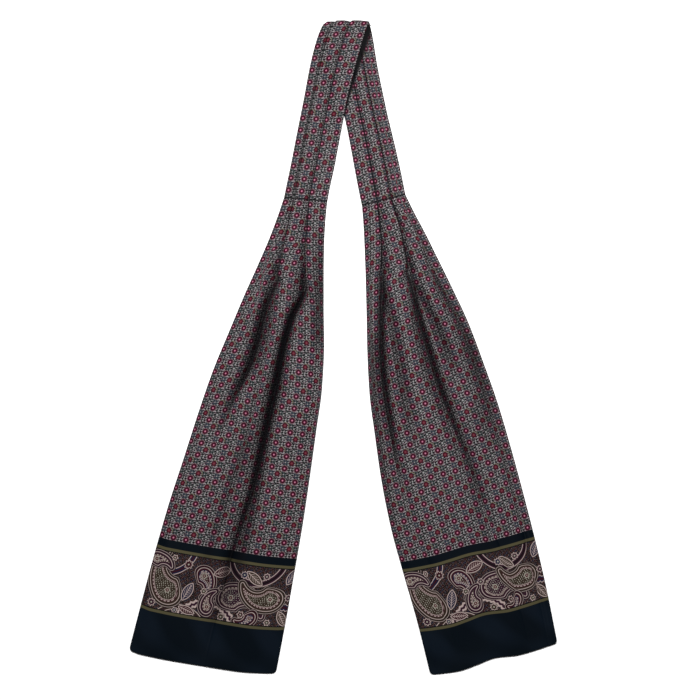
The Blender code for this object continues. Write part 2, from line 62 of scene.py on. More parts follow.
# Neckband
BAND_LENGTH = 172.0
BAND_THICKNESS = 4.2
BAND_TACK_THICKNESS = 5.0
BAND_THICKENS = (0.3, 1.0)
BAND_FLOOR_SHARE = 0.72
BAND_PRESSED_CROWN = 3.6
BAND_STEPS_END = (0.75, 1.0)
BAND_UNDER_INSETS = (0.0, 0.4, 1.4)
BAND_UNDER_MARGIN = 3.0
BAND_PRINT_SKIP = 3.0
BAND_CORNER_HEIGHT = 0.12
BAND_SIDE_SHARE = 0.22
TURN_INNER_RADIUS = 0.25
BAND_DROOP_RUN = 15.0
BAND_LIFT_START_Y = 152.0
BAND_LIFT_FULL_Y = 206.0

# The tack line: how far its stitches press the blade flat, and the groove that they pull
TACK_BLEND = 0.035
TACK_GROOVE = 0.55
TACK_GROOVE_WIDTH = 1.3
TACK_GROOVE_TOP = (0.5, 0.8)

# Outline of each blade, as the share of its length below the tack line and its two edges
OUTLINE = ("share", "left_x", "left_y", "right_x", "right_y")
LEFT_OUTLINE = (
    (0.00, -56.3, 142.5, -15.2, 138.7),
    (0.04, -62.2, 125.2, -16.9, 120.7),
    (0.09, -70.2, 104.0, -18.1, 98.1),
    (0.15, -81.0, 78.9, -18.5, 71.1),
    (0.22, -94.0, 49.9, -18.5, 39.4),
    (0.30, -108.1, 16.3, -18.1, 3.3),
    (0.39, -123.7, -21.5, -20.0, -37.2),
    (0.48, -137.2, -60.2, -25.4, -77.5),
    (0.58, -151.1, -103.5, -31.6, -122.2),
    (0.68, -165.2, -146.7, -38.3, -166.8),
    (0.78, -177.9, -190.4, -46.0, -211.3),
    (0.88, -189.7, -234.3, -53.8, -255.8),
    (1.00, -203.4, -287.1, -63.9, -309.0),
)
RIGHT_OUTLINE = (
    (0.00, 17.7, 134.9, 59.0, 145.5),
    (0.04, 19.1, 116.8, 67.0, 129.2),
    (0.09, 20.2, 94.2, 77.6, 109.3),
    (0.15, 21.2, 67.1, 89.7, 85.0),
    (0.22, 22.0, 35.5, 103.6, 56.6),
    (0.30, 22.7, -0.7, 118.8, 23.9),
    (0.39, 24.7, -41.4, 133.2, -14.2),
    (0.48, 29.8, -81.7, 146.7, -52.6),
    (0.58, 36.3, -126.4, 159.5, -95.9),
    (0.68, 45.2, -170.8, 171.3, -139.5),
    (0.78, 57.1, -214.4, 182.5, -183.3),
    (0.88, 69.6, -257.8, 192.7, -227.3),
    (1.00, 82.7, -310.5, 203.4, -280.5),
)

# How far the hem bows outwards across the blade, and from which share of the length it starts
BOW = ("across", "bow")
LEFT_BOW = ((0.0, 0.0), (0.08, 2.4), (0.35, 4.0), (0.72, 4.2), (0.94, 1.6), (1.0, 0.0))
RIGHT_BOW = (
    (0.0, 0.0), (0.10, 1.8), (0.23, 3.2), (0.36, 1.6), (0.50, -0.6), (0.70, 2.2), (1.0, 0.0),
)
BOW_START = 0.55

# Control points of a front section, as in the solids. It begins at its first edge, with points
# beside the edge, above the base by a height and a share of the first crown.
FIRST_EDGE_POINTS = ((0.0, -0.5, 0.0), (0.0, 0.0, 0.0), (0.7, 0.3, 0.12))
FIRST_STRIP_START = 2.0

# Over each strip of cloth the points rise or lie level up to the fall into the next valley. Along
# is a share of the strip, back is a share of the fall's run, and height is a share of the crown.
STRIP_RISE = ((0.20, 0.42), (0.65, 0.88))
STRIP_LEVEL = ((0.30, 1.00), (0.70, 1.00))
STRIP_FALL = ((1.00, 0.98), (0.55, 0.78), (0.20, 0.36))
STRIP_POINTS = len(STRIP_LEVEL) + len(STRIP_FALL)
FALL_RUN = 10.0
FALL_SHARE = 0.5

# Beyond the last pleat the cloth rounds down to the other edge
LAST_STRIP = ((0.20, 1.00), (0.42, 0.96), (0.62, 0.84), (0.80, 0.66), (1.00, 0.45))
LAST_MARGIN = 3.2
LAST_EDGE_POINTS = ((0.9, 0.3, 0.20), (0.0, 0.0, 0.0), (0.0, -0.5, 0.0))

# The turns of a pleat. Folded, a point lies at a share of the tucked depth and a distance beside
# the edge, some cloth layers up. Open, it lies at shares of the roll's run and rise. The cloth that
# doesn't show is hidden between two of the turns.
PLEAT_TURNS = (
    (0.5, 0.0, 0, 0.00, 0.00),
    (1.0, 0.9, 0, 0.04, 0.20),
    (1.0, 0.9, 1, 0.12, 0.42),
    (0.5, 0.0, 1, 0.26, 0.63),
    (0.0, -0.7, 1, 0.46, 0.81),
    (0.0, -0.9, 2, 0.70, 0.94),
)
PLEAT_POINTS = len(PLEAT_TURNS) + 2
HIDDEN_TURNS = (1, 5)
PLEAT_BEYOND = 2.2
PLEAT_FLOOR_RUN = 3.0
PLEAT_FLOOR_SHARE = 0.2
PLEAT_OPENS = 2.0
ROLL_RUN = 13.0
ROLL_SHARE = 0.6

# Knife pleats, as in the solids. Hidden is the pleat's part of the cloth that no longer shows.
PLEAT = ("share", "across", "under", "crown", "depth", "hidden")
LEFT_OUTER_PLEAT = (
    (0.00, 0.262, 5.5, 3.6, 1.00, 1.0),
    (0.08, 0.303, 4.8, 4.0, 1.00, 1.0),
    (0.15, 0.335, 2.6, 7.0, 1.00, 1.0),
    (0.18, 0.349, 0.2, 8.2, 1.00, 1.0),
    (0.21, 0.362, -3.0, 9.8, 1.00, 1.0),
    (0.27, 0.390, -6.6, 12.0, 1.00, 1.0),
    (0.34, 0.384, -5.8, 12.6, 1.00, 1.0),
    (0.39, 0.370, -6.6, 12.4, 0.95, 0.9),
    (0.44, 0.345, -9.0, 11.4, 0.75, 0.8),
    (0.49, 0.325, -10.0, 10.2, 0.35, 0.6),
    (0.54, 0.300, -11.0, 9.2, 0.05, 0.5),
    (0.66, 0.270, -12.0, 7.4, 0.00, 0.4),
    (0.82, 0.250, -12.0, 4.2, 0.00, 0.4),
    (1.00, 0.230, -12.0, 0.5, 0.00, 0.4),
)
LEFT_INNER_PLEAT = (
    (0.00, 0.602, 6.5, 3.7, 1.00, 1.0),
    (0.05, 0.664, 6.2, 4.4, 1.00, 1.0),
    (0.10, 0.686, 5.0, 5.6, 1.00, 1.0),
    (0.15, 0.738, 2.6, 7.2, 1.00, 1.0),
    (0.20, 0.757, -1.0, 9.8, 1.00, 1.0),
    (0.26, 0.700, -6.2, 13.4, 1.00, 1.0),
    (0.32, 0.655, -6.2, 14.0, 1.00, 1.0),
    (0.42, 0.643, -5.2, 13.6, 1.00, 1.0),
    (0.53, 0.630, -4.2, 12.2, 1.00, 1.0),
    (0.62, 0.622, -4.2, 10.8, 1.00, 1.0),
    (0.70, 0.608, -6.0, 9.4, 1.00, 1.0),
    (0.78, 0.585, -6.5, 7.0, 1.00, 1.0),
    (0.88, 0.575, -7.0, 4.0, 0.90, 1.0),
    (1.00, 0.570, -8.0, 0.6, 0.60, 1.0),
)
RIGHT_OUTER_PLEAT = (
    (0.00, 0.170, -1.8, 0.7, 1.00, 0.3),
    (0.03, 0.145, -1.6, 1.8, 1.00, 0.4),
    (0.05, 0.124, -1.0, 2.8, 1.00, 0.5),
    (0.08, 0.120, 0.0, 3.7, 1.00, 0.6),
    (0.11, 0.130, 0.9, 4.4, 1.00, 0.6),
    (0.15, 0.150, 0.6, 6.0, 1.00, 0.6),
    (0.21, 0.160, -3.0, 8.6, 1.00, 0.6),
    (0.27, 0.150, -5.0, 9.6, 1.00, 0.6),
    (0.34, 0.140, -6.0, 10.0, 1.00, 0.6),
    (0.44, 0.135, -6.0, 9.0, 1.00, 0.6),
    (0.54, 0.130, -6.0, 7.4, 1.00, 0.6),
    (0.66, 0.120, -6.0, 5.4, 1.00, 0.6),
    (0.80, 0.120, -6.0, 3.0, 1.00, 0.6),
    (1.00, 0.120, -6.0, 0.4, 1.00, 0.6),
)
RIGHT_MIDDLE_PLEAT = (
    (0.00, 0.362, 5.0, 3.6, 1.00, 1.0),
    (0.05, 0.368, 4.8, 4.0, 1.00, 1.0),
    (0.10, 0.402, 4.0, 5.2, 1.00, 1.0),
    (0.15, 0.436, 1.8, 7.8, 1.00, 1.0),
    (0.20, 0.476, -3.0, 10.4, 1.00, 1.0),
    (0.27, 0.488, -3.4, 12.0, 1.00, 1.0),
    (0.34, 0.472, -3.4, 12.2, 1.00, 1.0),
    (0.42, 0.446, -3.4, 11.2, 1.00, 1.0),
    (0.50, 0.412, -3.4, 10.0, 0.85, 1.0),
    (0.58, 0.366, -3.6, 8.8, 0.65, 1.0),
    (0.66, 0.345, -5.0, 7.4, 0.40, 1.0),
    (0.74, 0.330, -7.0, 6.0, 0.10, 1.0),
    (0.85, 0.310, -9.0, 4.0, 0.00, 1.0),
    (1.00, 0.290, -10.0, 0.6, 0.00, 1.0),
)
RIGHT_INNER_PLEAT = (
    (0.00, 0.680, 6.5, 3.7, 1.00, 1.0),
    (0.04, 0.705, 6.0, 4.0, 1.00, 1.0),
    (0.08, 0.734, 5.0, 5.0, 1.00, 1.0),
    (0.13, 0.780, 2.4, 7.4, 1.00, 1.0),
    (0.18, 0.832, -2.4, 9.0, 1.00, 1.0),
    (0.25, 0.892, -3.4, 9.6, 1.00, 1.0),
    (0.34, 0.908, -3.6, 9.4, 1.00, 1.0),
    (0.44, 0.903, -3.6, 8.2, 0.95, 1.0),
    (0.52, 0.900, -4.0, 6.8, 0.60, 0.8),
    (0.60, 0.890, -5.0, 5.6, 0.20, 0.8),
    (0.74, 0.870, -7.0, 4.0, 0.00, 0.6),
    (1.00, 0.840, -8.0, 0.4, 0.00, 0.5),
)

# Creases that never fold over, as ridges or troughs with a half width on either side. Hidden is
# the crease's part of the cloth that no longer shows.
CREASE = ("share", "across", "rise", "low_half", "high_half", "hidden")


def gather(start, peak, end):
    """A short crease. Its two ends have no height, so they give only places and half widths."""
    ends = [(share, across, 0.0, low, high, 0.0) for share, across, low, high in (start, end)]
    return ends[0], peak, ends[1]


LEFT_TUCK = (
    (0.22, 0.430, 0.0, 5.0, 6.0, 0.0),
    (0.29, 0.448, 1.2, 4.0, 8.0, 0.5),
    (0.35, 0.457, 1.9, 3.4, 10.0, 1.0),
    (0.42, 0.469, 2.6, 3.0, 11.0, 1.4),
    (0.50, 0.461, 2.8, 2.6, 12.0, 1.8),
    (0.575, 0.431, 2.8, 2.6, 13.0, 2.0),
    (0.63, 0.410, 2.4, 3.0, 14.0, 1.8),
    (0.69, 0.394, 1.8, 5.0, 15.0, 1.0),
    (0.76, 0.392, 1.0, 9.0, 16.0, 0.3),
    (0.90, 0.385, 0.0, 14.0, 20.0, 0.0),
)
LEFT_EDGE_TUCK = (
    (0.09, 0.120, 0.0, 3.0, 4.0, 0.0),
    (0.126, 0.121, 0.9, 3.0, 6.0, 0.4),
    (0.177, 0.162, 1.6, 3.4, 7.0, 0.6),
    (0.22, 0.204, 1.7, 4.0, 8.0, 0.6),
    (0.27, 0.196, 1.3, 6.0, 10.0, 0.3),
    (0.33, 0.185, 0.7, 9.0, 12.0, 0.0),
    (0.42, 0.180, 0.0, 12.0, 14.0, 0.0),
)
LEFT_GATHERS = (
    gather((0.24, 0.8, 5, 4), (0.28, 0.775, -1.6, 6, 4, 0), (0.44, 0.84, 6, 6)),
    gather((0, 0.14, 2, 2), (0.02, 0.13, 0.6, 2.5, 3, 0), (0.075, 0.15, 4, 4)),
    gather((0, 0.42, 2, 2), (0.025, 0.44, 0.7, 2.5, 3, 0), (0.095, 0.48, 4, 4)),
    gather((0, 0.82, 2, 2), (0.022, 0.85, 0.5, 2.5, 3, 0), (0.11, 0.88, 4, 4)),
    gather((0.35, 0.8, 8, 8), (0.52, 0.78, 0.7, 12, 9, 0), (0.74, 0.77, 14, 9)),
    gather((0.42, 0.12, 8, 8), (0.6, 0.13, -0.5, 9, 9, 0), (0.8, 0.12, 9, 9)),
)
RIGHT_TUCK = (
    (0.12, 0.360, 0.0, 5.0, 5.0, 0.0),
    (0.17, 0.385, -2.5, 8.0, 6.0, 0.0),
    (0.22, 0.368, -4.5, 9.0, 7.0, 0.0),
    (0.28, 0.332, -5.0, 9.0, 8.0, 0.0),
    (0.34, 0.300, -4.5, 9.0, 9.0, 0.0),
    (0.39, 0.275, -2.5, 9.0, 9.0, 0.0),
    (0.46, 0.250, 0.0, 9.0, 9.0, 0.0),
)
RIGHT_TROUGH = (
    (0.16, 0.790, 0.0, 6.0, 6.0, 0.0),
    (0.21, 0.770, -2.5, 8.0, 8.0, 0.0),
    (0.28, 0.722, -4.5, 10.0, 9.0, 0.0),
    (0.36, 0.705, -4.5, 11.0, 8.0, 0.0),
    (0.44, 0.712, -3.5, 12.0, 8.0, 0.0),
    (0.52, 0.700, -1.2, 12.0, 9.0, 0.0),
    (0.60, 0.690, 0.0, 12.0, 10.0, 0.0),
)
RIGHT_GATHERS = (
    gather((0, 0.26, 2, 2), (0.03, 0.262, 0.6, 2.5, 3, 0), (0.1, 0.27, 4, 4)),
    gather((0, 0.5, 2, 2), (0.024, 0.52, 0.7, 2.5, 3, 0), (0.09, 0.56, 4, 4)),
    gather((0, 0.86, 2, 2), (0.028, 0.87, 0.5, 2.5, 3, 0), (0.09, 0.88, 4, 4)),
    gather((0.24, 0.64, 5, 8), (0.34, 0.655, 0.9, 7, 10, 0.3), (0.52, 0.64, 10, 12)),
    gather((0.42, 0.56, 8, 8), (0.56, 0.56, 0.8, 9, 12, 0.2), (0.76, 0.54, 12, 14)),
)

# Broad places of painted shade beside a fold: how dark, and how far the painted shade reaches to
# each side. Below 0 the table takes painted shade away, and the place lies lighter than its painted
# fold shade says.
DIM = ("share", "across", "dark", "low", "high")
LEFT_OUTER_DIM = (
    (0.14, 0.360, 0.00, 4, 5),
    (0.20, 0.360, 0.50, 5, 7),
    (0.27, 0.355, 0.65, 8, 12),
    (0.36, 0.345, 0.50, 9, 12),
    (0.41, 0.290, 0.00, 8, 8),
    (0.45, 0.235, -0.25, 8, 6),
    (0.52, 0.220, 0.00, 8, 6),
)
LEFT_INNER_DIM = (
    (0.14, 0.660, 0.00, 12, 8),
    (0.20, 0.660, 0.40, 13, 8),
    (0.30, 0.610, 0.40, 16, 5),
    (0.40, 0.600, 0.40, 16, 8),
    (0.50, 0.600, 0.40, 14, 9),
    (0.62, 0.615, 0.55, 10, 10),
    (0.72, 0.600, 0.62, 8, 13),
    (0.82, 0.580, 0.50, 12, 13),
    (0.88, 0.560, 0.25, 15, 12),
    (0.91, 0.560, 0.00, 15, 12),
)
LEFT_HEM_DIM = (
    (0.89, 0.545, 0.00, 8, 8),
    (0.92, 0.545, -0.80, 8, 8),
    (1.00, 0.540, -0.95, 8, 8),
)
LEFT_EDGE_DIM = (
    (0.03, 0.95, 0.00, 14, 10),
    (0.12, 0.95, 0.40, 14, 10),
    (0.20, 0.95, 0.55, 14, 10),
    (0.28, 0.95, 0.50, 13, 10),
    (0.34, 0.96, 0.00, 12, 8),
    (0.40, 0.96, 0.00, 12, 8),
)
LEFT_TUCK_DIM = (
    (0.48, 0.470, 0.00, 6, 6),
    (0.54, 0.455, 0.50, 7, 7),
    (0.62, 0.420, 0.45, 8, 8),
    (0.72, 0.385, 0.35, 9, 9),
    (0.85, 0.360, 0.00, 10, 10),
)
RIGHT_OUTER_DIM = (
    (0.16, 0.140, 0.00, 5, 7),
    (0.21, 0.140, 0.50, 5, 8),
    (0.28, 0.100, 0.45, 7, 11),
    (0.36, 0.070, 0.60, 10, 17),
    (0.44, 0.070, 0.50, 10, 18),
    (0.52, 0.120, 0.32, 16, 26),
    (0.60, 0.120, 0.00, 16, 26),
)
RIGHT_EDGE_DIM = (
    (0.14, 0.060, 0.00, 6, 4),
    (0.20, 0.060, -0.60, 7, 4),
    (0.27, 0.060, -0.30, 7, 5),
    (0.34, 0.080, -0.20, 7, 7),
    (0.50, 0.075, -0.50, 7, 7),
    (0.62, 0.075, -0.85, 8, 8),
    (0.72, 0.075, -0.95, 8, 8),
    (1.00, 0.070, -0.95, 8, 8),
)
RIGHT_INNER_DIM = (
    (0.26, 0.930, 0.00, 8, 8),
    (0.30, 0.930, 0.50, 8, 8),
    (0.36, 0.940, 0.55, 8, 8),
    (0.44, 0.955, 0.40, 10, 7),
    (0.52, 0.980, 0.35, 12, 6),
    (0.62, 0.980, 0.20, 12, 6),
    (0.72, 0.980, 0.00, 12, 6),
)
RIGHT_MIDDLE_DIM = (
    (0.15, 0.450, 0.00, 7, 6),
    (0.20, 0.455, 0.45, 7, 7),
    (0.28, 0.490, 0.55, 5, 9),
    (0.36, 0.490, 0.50, 6, 9),
    (0.44, 0.460, 0.45, 6, 9),
    (0.52, 0.420, 0.30, 6, 9),
    (0.62, 0.345, 0.30, 8, 11),
    (0.70, 0.340, 0.25, 8, 13),
    (0.80, 0.340, 0.00, 8, 13),
)
RIGHT_TUCK_DIM = (
    (0.18, 0.37, 0.00, 7, 7),
    (0.24, 0.33, 0.40, 7, 7),
    (0.28, 0.29, 0.50, 8, 8),
    (0.34, 0.27, 0.45, 8, 8),
    (0.42, 0.26, 0.00, 8, 8),
)
RIGHT_TROUGH_DIM = (
    (0.16, 0.790, 0.00, 8, 8),
    (0.22, 0.750, 0.30, 8, 8),
    (0.28, 0.725, 0.45, 9, 9),
    (0.36, 0.705, 0.30, 9, 9),
    (0.44, 0.712, 0.35, 9, 9),
    (0.52, 0.700, 0.10, 9, 9),
    (0.58, 0.700, 0.00, 9, 9),
)

# Height of the strip of cloth between a blade's first edge and its first pleat
EDGE_CROWN = ("share", "crown")
LEFT_EDGE_CROWN = (
    (0.0, 0.5), (0.12, 2.4), (0.20, 6.0), (0.30, 8.0), (0.42, 8.5),
    (0.55, 8.0), (0.70, 6.0), (0.85, 3.0), (1.0, 0.4),
)
RIGHT_EDGE_CROWN = (
    (0.0, 0.3), (0.12, 0.6), (0.25, 1.0), (0.4, 1.2), (0.6, 1.4), (0.8, 1.2), (1.0, 0.4),
)

# Outline of each stretch of the neckband from the fold down to the tack line
LEFT_BAND_OUTLINE = (
    (0.00, -15.9, 310.4, 24.8, 310.4),
    (0.03, -19.2, 306.0, 23.3, 306.0),
    (0.07, -22.2, 300.2, 20.8, 298.8),
    (0.12, -25.3, 292.2, 18.2, 290.4),
    (0.18, -28.2, 282.2, 15.4, 280.2),
    (0.25, -31.0, 270.4, 12.1, 268.3),
    (0.33, -33.7, 256.9, 8.5, 254.3),
    (0.42, -36.5, 241.6, 4.6, 238.8),
    (0.52, -39.8, 224.6, 1.1, 221.6),
    (0.62, -43.2, 207.6, -2.2, 204.4),
    (0.72, -46.5, 190.7, -5.4, 187.2),
    (0.82, -49.8, 173.7, -8.7, 170.0),
    (0.91, -53.0, 158.4, -12.1, 154.8),
    (1.00, -56.2, 142.8, -15.1, 139.0),
)
RIGHT_BAND_OUTLINE = (
    (0.00, -15.6, 305.6, 25.6, 305.6),
    (0.05, -14.3, 300.2, 26.8, 300.6),
    (0.12, -11.9, 289.0, 28.8, 290.2),
    (0.18, -10.0, 278.5, 30.3, 280.3),
    (0.25, -8.0, 266.2, 32.2, 268.8),
    (0.33, -5.6, 252.2, 34.7, 255.8),
    (0.42, -2.6, 236.6, 37.8, 241.0),
    (0.52, 1.2, 219.2, 41.2, 224.9),
    (0.62, 4.8, 201.9, 45.0, 208.9),
    (0.72, 8.1, 184.4, 48.9, 192.6),
    (0.82, 11.3, 166.9, 52.7, 176.2),
    (0.91, 14.3, 151.2, 55.9, 161.0),
    (1.00, 17.6, 135.2, 58.9, 145.8),
)

# The share of the band at which its own rows end and the turn of the fold begins
FOLD_ROW = LEFT_BAND_OUTLINE[1][0]

# Fineness of the sheets, and their close rows as distances from the tack line
BLADE_ROWS = 250
BAND_ROWS = 90
TURN_ROWS = 24
CORNER_ROWS = 10
BACK_COLUMNS = 40
BAND_UNDER_COLUMNS = 16
SAMPLES_PER_CONTROL = 5
CLOSE_ROWS = (0.4, 0.8, 1.3)
LAST_CLOSE_ROW = 2.6

# How the top of a front rounds down at its hem and waves, and the least that it lies over the back
EDGE_ROLL = 1.5
EDGE_LEVEL = 0.9
FRONT_OVER_BASE = 0.1
UNDULATION = 0.22
UNDULATION_STARTS = (0.0, 0.15)
# Waves with a strength, lengths along and across the cloth, and a shift
UNDULATION_WAVES = ((1.0, 13.0, 31.0, 0.0), (0.8, 21.0, -17.0, 1.3), (0.5, 7.7, 11.0, 0.4))

# Where a crease hides its cloth: how far before its middle, and how widely, in its low half widths
SPARE_BEFORE = 0.4
SPARE_WIDTH = 0.45

# The turned-up edges of a back panel, as places from the edge and heights
BACK_EDGE = (0.15, 0.0, 0.12, 0.5, 1.2)
BACK_EDGE_HEIGHTS = (EDGE_LEVEL + 0.1, 0.55, 0.25, 0.08, LOWEST)
BACK_EDGE_MARGIN = 2.0

# Painted shade in the folds, by how shut in the cloth lies: how far a fold shades it, and how fast
# the painted shade darkens it. Both the depth and the gain are less at the tack line, and grow over
# shares of the blade.
HOLLOW_REACH = 40.0
HOLLOW_DEPTH = 4.5
TACK_HOLLOW = 2.2
TACK_HOLLOW_END = (0.10, 0.24)
TACK_HOLLOW_GAIN = 0.45
TACK_GAIN_END = (0.04, 0.16)
# A line of painted shade along the groove of the tack line: how dark, and how wide
TACK_LINE = 0.9
TACK_LINE_WIDTH = 0.75
BAND_HOLLOW_GAIN = 1.2

# Painted shade of the dark gap under a knife pleat, and the strip along its top edge where the
# painted shade is cleared, as places beside the edge
FOLD_SHADES_FROM = (0.0, 2.0)
FOLD_LINE_BEFORE = 1.4
FOLD_LINE_WIDTH = 0.95
FOLD_LINE_POWER = 4
FOLD_TOP_START = (-0.8, 0.2)
FOLD_TOP_CLEAR = 0.85
FOLD_TOP_WIDTH = 12.0

# A painted shadow: the dark wedge on the lower stretch of the band, beside the edge of the upper
# one
WEDGE_LINE = 0.9
WEDGE_WIDTH = 4.8
WEDGE_CORE = 0.6
WEDGE_START_Y = 304.0
WEDGE_END_Y = 212.0
WEDGE_FADE = 12.0

# Borders of the print, as distances from the hem
HEM_BAND_TOP = 42.0
LOWER_STRIPE = 43.7
UPPER_STRIPE = 102.5
BORDER_TOP = 111.2
STRIPE_HALF_WIDTH = 1.3
STRIPE_LINE_WIDTH = 0.9

# Softness of the print's edges
SOFT_EDGE = 0.22

# The small all-over print: a lattice of rosettes, with discs and dots between them in turn
PITCH_ACROSS = 12.0
PITCH_ALONG = 11.5
FIRST_COLUMN = 3.6
FIRST_ROW = BORDER_TOP + 2.7


def column(table, names, name):
    """One named column of a table."""
    return np.array([row[names.index(name)] for row in table], float)


def read(table, names, name, at):
    """A column's smooth value at a place in the table's first column, with no overshoot."""
    x = column(table, names, names[0])
    y = column(table, names, name)
    step = np.diff(x)
    rise = np.diff(y) / step
    slope = np.zeros(len(x))
    for i in range(1, len(x) - 1):
        if rise[i - 1] * rise[i] > 0:
            slope[i] = 2 * rise[i - 1] * rise[i] / (rise[i - 1] + rise[i])
    slope[0] = rise[0]
    slope[-1] = rise[-1]
    place = np.clip(at, x[0], x[-1])
    i = np.clip(np.searchsorted(x, place) - 1, 0, len(x) - 2)
    t = (place - x[i]) / step[i]
    start = y[i] * (1 + 2 * t) * (1 - t) ** 2 + y[i + 1] * t * t * (3 - 2 * t)
    return start + step[i] * (slope[i] * t * (1 - t) ** 2 - slope[i + 1] * t * t * (1 - t))


def smooth_step(low, high, value):
    """0 below low, 1 above high and a soft S between."""
    t = np.clip((value - low) / (high - low), 0.0, 1.0)
    return t * t * (3 - 2 * t)


def read_row(table, names, at):
    """All columns but the first at one place."""
    return [float(read(table, names, name, at)) for name in names[1:]]


def bell(distance, width):
    """1 at no distance, falling off to nothing over a few widths."""
    return math.exp(-((distance / width) ** 2))


def hump(side, low, high):
    """1 in the middle, falling softly to 0 at a half width on the low and on the high side."""
    near = np.clip(1 - np.abs(side) / np.where(side < 0, low, high), 0, 1)
    return near * near * (3 - 2 * near)


def pleat_points(edge, under, crown, bottom, room):
    """Control points across one pleat, from the valley before it to the crown beyond its edge."""
    folded = float(smooth_step(-PLEAT_OPENS, PLEAT_OPENS, under))
    floor = min(PLEAT_FLOOR_RUN * (0.5 + 0.5 * folded), PLEAT_FLOOR_SHARE * edge)
    roll = min(ROLL_RUN, ROLL_SHARE * room)
    points = [(min(edge, edge + under) - floor, BASE + bottom)]
    for of_under, beside, layers, along, rise in PLEAT_TURNS:
        x = folded * (of_under * under + beside) + (1 - folded) * (under + along * roll)
        z = folded * layers * LAYER + (1 - folded) * (bottom + rise * (crown - bottom))
        points.append((edge + x, BASE + z))
    beyond = folded * PLEAT_BEYOND + (1 - folded) * (under + roll)
    points.append((edge + beyond, BASE + crown))
    return points


def strip_points(start, end, crown, bottom, first):
    """Control points over a strip of cloth, up to the valley that ends it."""
    fall = min(FALL_RUN, FALL_SHARE * (end - start))
    shape = STRIP_RISE if first else STRIP_LEVEL
    run = end - fall - start
    points = [(start + run * along, BASE + crown * height) for along, height in shape]
    for back, height in STRIP_FALL:
        points.append((end - fall * back, BASE + bottom + (crown - bottom) * height))
    return points


def section_controls(width, folds, crown):
    """Control points of a front section's middle line, from its low edge to its high edge."""
    points = [
        (WALL / 2 + beside, BASE + height + of_crown * crown)
        for beside, height, of_crown in FIRST_EDGE_POINTS
    ]
    start = FIRST_STRIP_START
    feet = [across * width + min(under, 0.0) for across, under, _, _ in folds] + [width]
    for k, (across, under, beyond, depth) in enumerate(folds):
        bottom = (1 - depth) * min(crown, beyond)
        room = feet[k + 1] - feet[k] - PLEAT_FLOOR_RUN
        pleat = pleat_points(across * width, under, beyond, bottom, room)
        points += strip_points(start, pleat[0][0], crown, bottom, k == 0)
        points += pleat
        start = pleat[-1][0]
        crown = beyond
    run = width - LAST_MARGIN - start
    points += [(start + run * along, BASE + crown * height) for along, height in LAST_STRIP]
    points += [
        (width - WALL / 2 - beside, BASE + height + of_crown * crown)
        for beside, height, of_crown in LAST_EDGE_POINTS
    ]
    return np.array(points)


def spline(points, places):
    """A uniform cubic B-spline with its ends pinned, at places counted in control points."""
    line = np.array([2 * points[0] - points[1], *points, 2 * points[-1] - points[-2]])
    i = np.minimum(places.astype(int), len(points) - 2)
    t = (places - i)[:, None]
    return (
        line[i] * (1 - t) ** 3 / 6
        + line[i + 1] * (3 * t ** 3 - 6 * t * t + 4) / 6
        + line[i + 2] * (-3 * t ** 3 + 3 * t * t + 3 * t + 1) / 6
        + line[i + 3] * t ** 3 / 6
    )


def offsets(line, distance):
    """Points moved sideways from a line in its own plane."""
    along = np.gradient(line, axis=0)
    along /= np.linalg.norm(along, axis=1)[:, None]
    return line + distance * np.stack([-along[:, 1], along[:, 0]], axis=1)


def spread_of_spare(line, places, pleats, share, width, creases):
    """Where a section hides the cloth that doesn't show, as a weight for each of its steps."""
    middle = (places[1:] + places[:-1]) / 2
    across = (line[1:, 0] + line[:-1, 0]) / 2
    weights = np.full(len(middle), NEARLY_NONE)
    for k, table in enumerate(pleats):
        first = len(FIRST_EDGE_POINTS) + STRIP_POINTS + k * (STRIP_POINTS + PLEAT_POINTS)
        inside = (middle > first + HIDDEN_TURNS[0]) & (middle < first + HIDDEN_TURNS[1])
        weights += read(table, PLEAT, "hidden", share) * inside / inside.sum()
    for table in creases:
        if table[0][0] < share < table[-1][0]:
            at, _, low, _, hidden = read_row(table, CREASE, share)
            side = across - at * width + SPARE_BEFORE * low
            beside = np.exp(-((side / (SPARE_WIDTH * low)) ** 2))
            weights += hidden * beside / max(beside.sum(), NEARLY_NONE)
    return weights / weights.sum()


def cloth_across(line, spare_weights):
    """How far each point of a section lies across the flat cloth."""
    steps = np.linalg.norm(np.diff(line, axis=0), axis=1)
    spare = CUT_WIDTH - steps.sum()
    steps = steps + spare * spare_weights if spare > 0 else steps * CUT_WIDTH / steps.sum()
    return np.concatenate([[0.0], np.cumsum(steps)])


def crease_height(share, across, width, table):
    """How far a crease lifts or lowers points across a section."""
    if not table[0][0] < share < table[-1][0]:
        return 0.0
    at, rise, low, high, _ = read_row(table, CREASE, share)
    return rise * hump(across - at * width, low, high)


def undulation(across, along):
    """Slow unevenness of cloth laid down by hand."""
    return UNDULATION * sum(
        strength * np.sin(along / length + across / width + shift)
        for strength, length, width, shift in UNDULATION_WAVES
    )


def rolled(height, distance):
    """A height that rounds down to the folded edge of the cloth near that edge."""
    near = np.clip(1 - distance / EDGE_ROLL, 0.0, 1.0)
    return EDGE_LEVEL + (height - EDGE_LEVEL) * np.sqrt(1 - near ** 2)


def corner_inset(share):
    """How far the rounded hem corner draws the sides in."""
    left = max(CORNER_RADIUS - (1 - share) * BLADE_LENGTH, 0.0)
    return CORNER_RADIUS - math.sqrt(max(CORNER_RADIUS ** 2 - left ** 2, 0.0))


def edge_points(outline, share):
    """The two ends of a section in plan."""
    left_x, left_y, right_x, right_y = read_row(outline, OUTLINE, share)
    return np.array([left_x, left_y]), np.array([right_x, right_y])


def blade_places(blade, share, across):
    """Points in plan at distances across a section of a blade."""
    start, end = edge_points(blade["outline"], share)
    if blade["mirrored"]:
        start, end = end, start
    width = np.linalg.norm(end - start)
    inset = corner_inset(share)
    t = (inset + across * (width - 2 * inset) / width) / width
    down = np.array([end[1] - start[1], start[0] - end[0]]) / width
    if blade["mirrored"]:
        down = -down
    from_left = 1 - t if blade["mirrored"] else t
    bow = read(blade["bow"], BOW, "bow", from_left) * smooth_step(BOW_START, 1.0, share)
    return start + np.outer(t, end - start) + np.outer(bow, down)


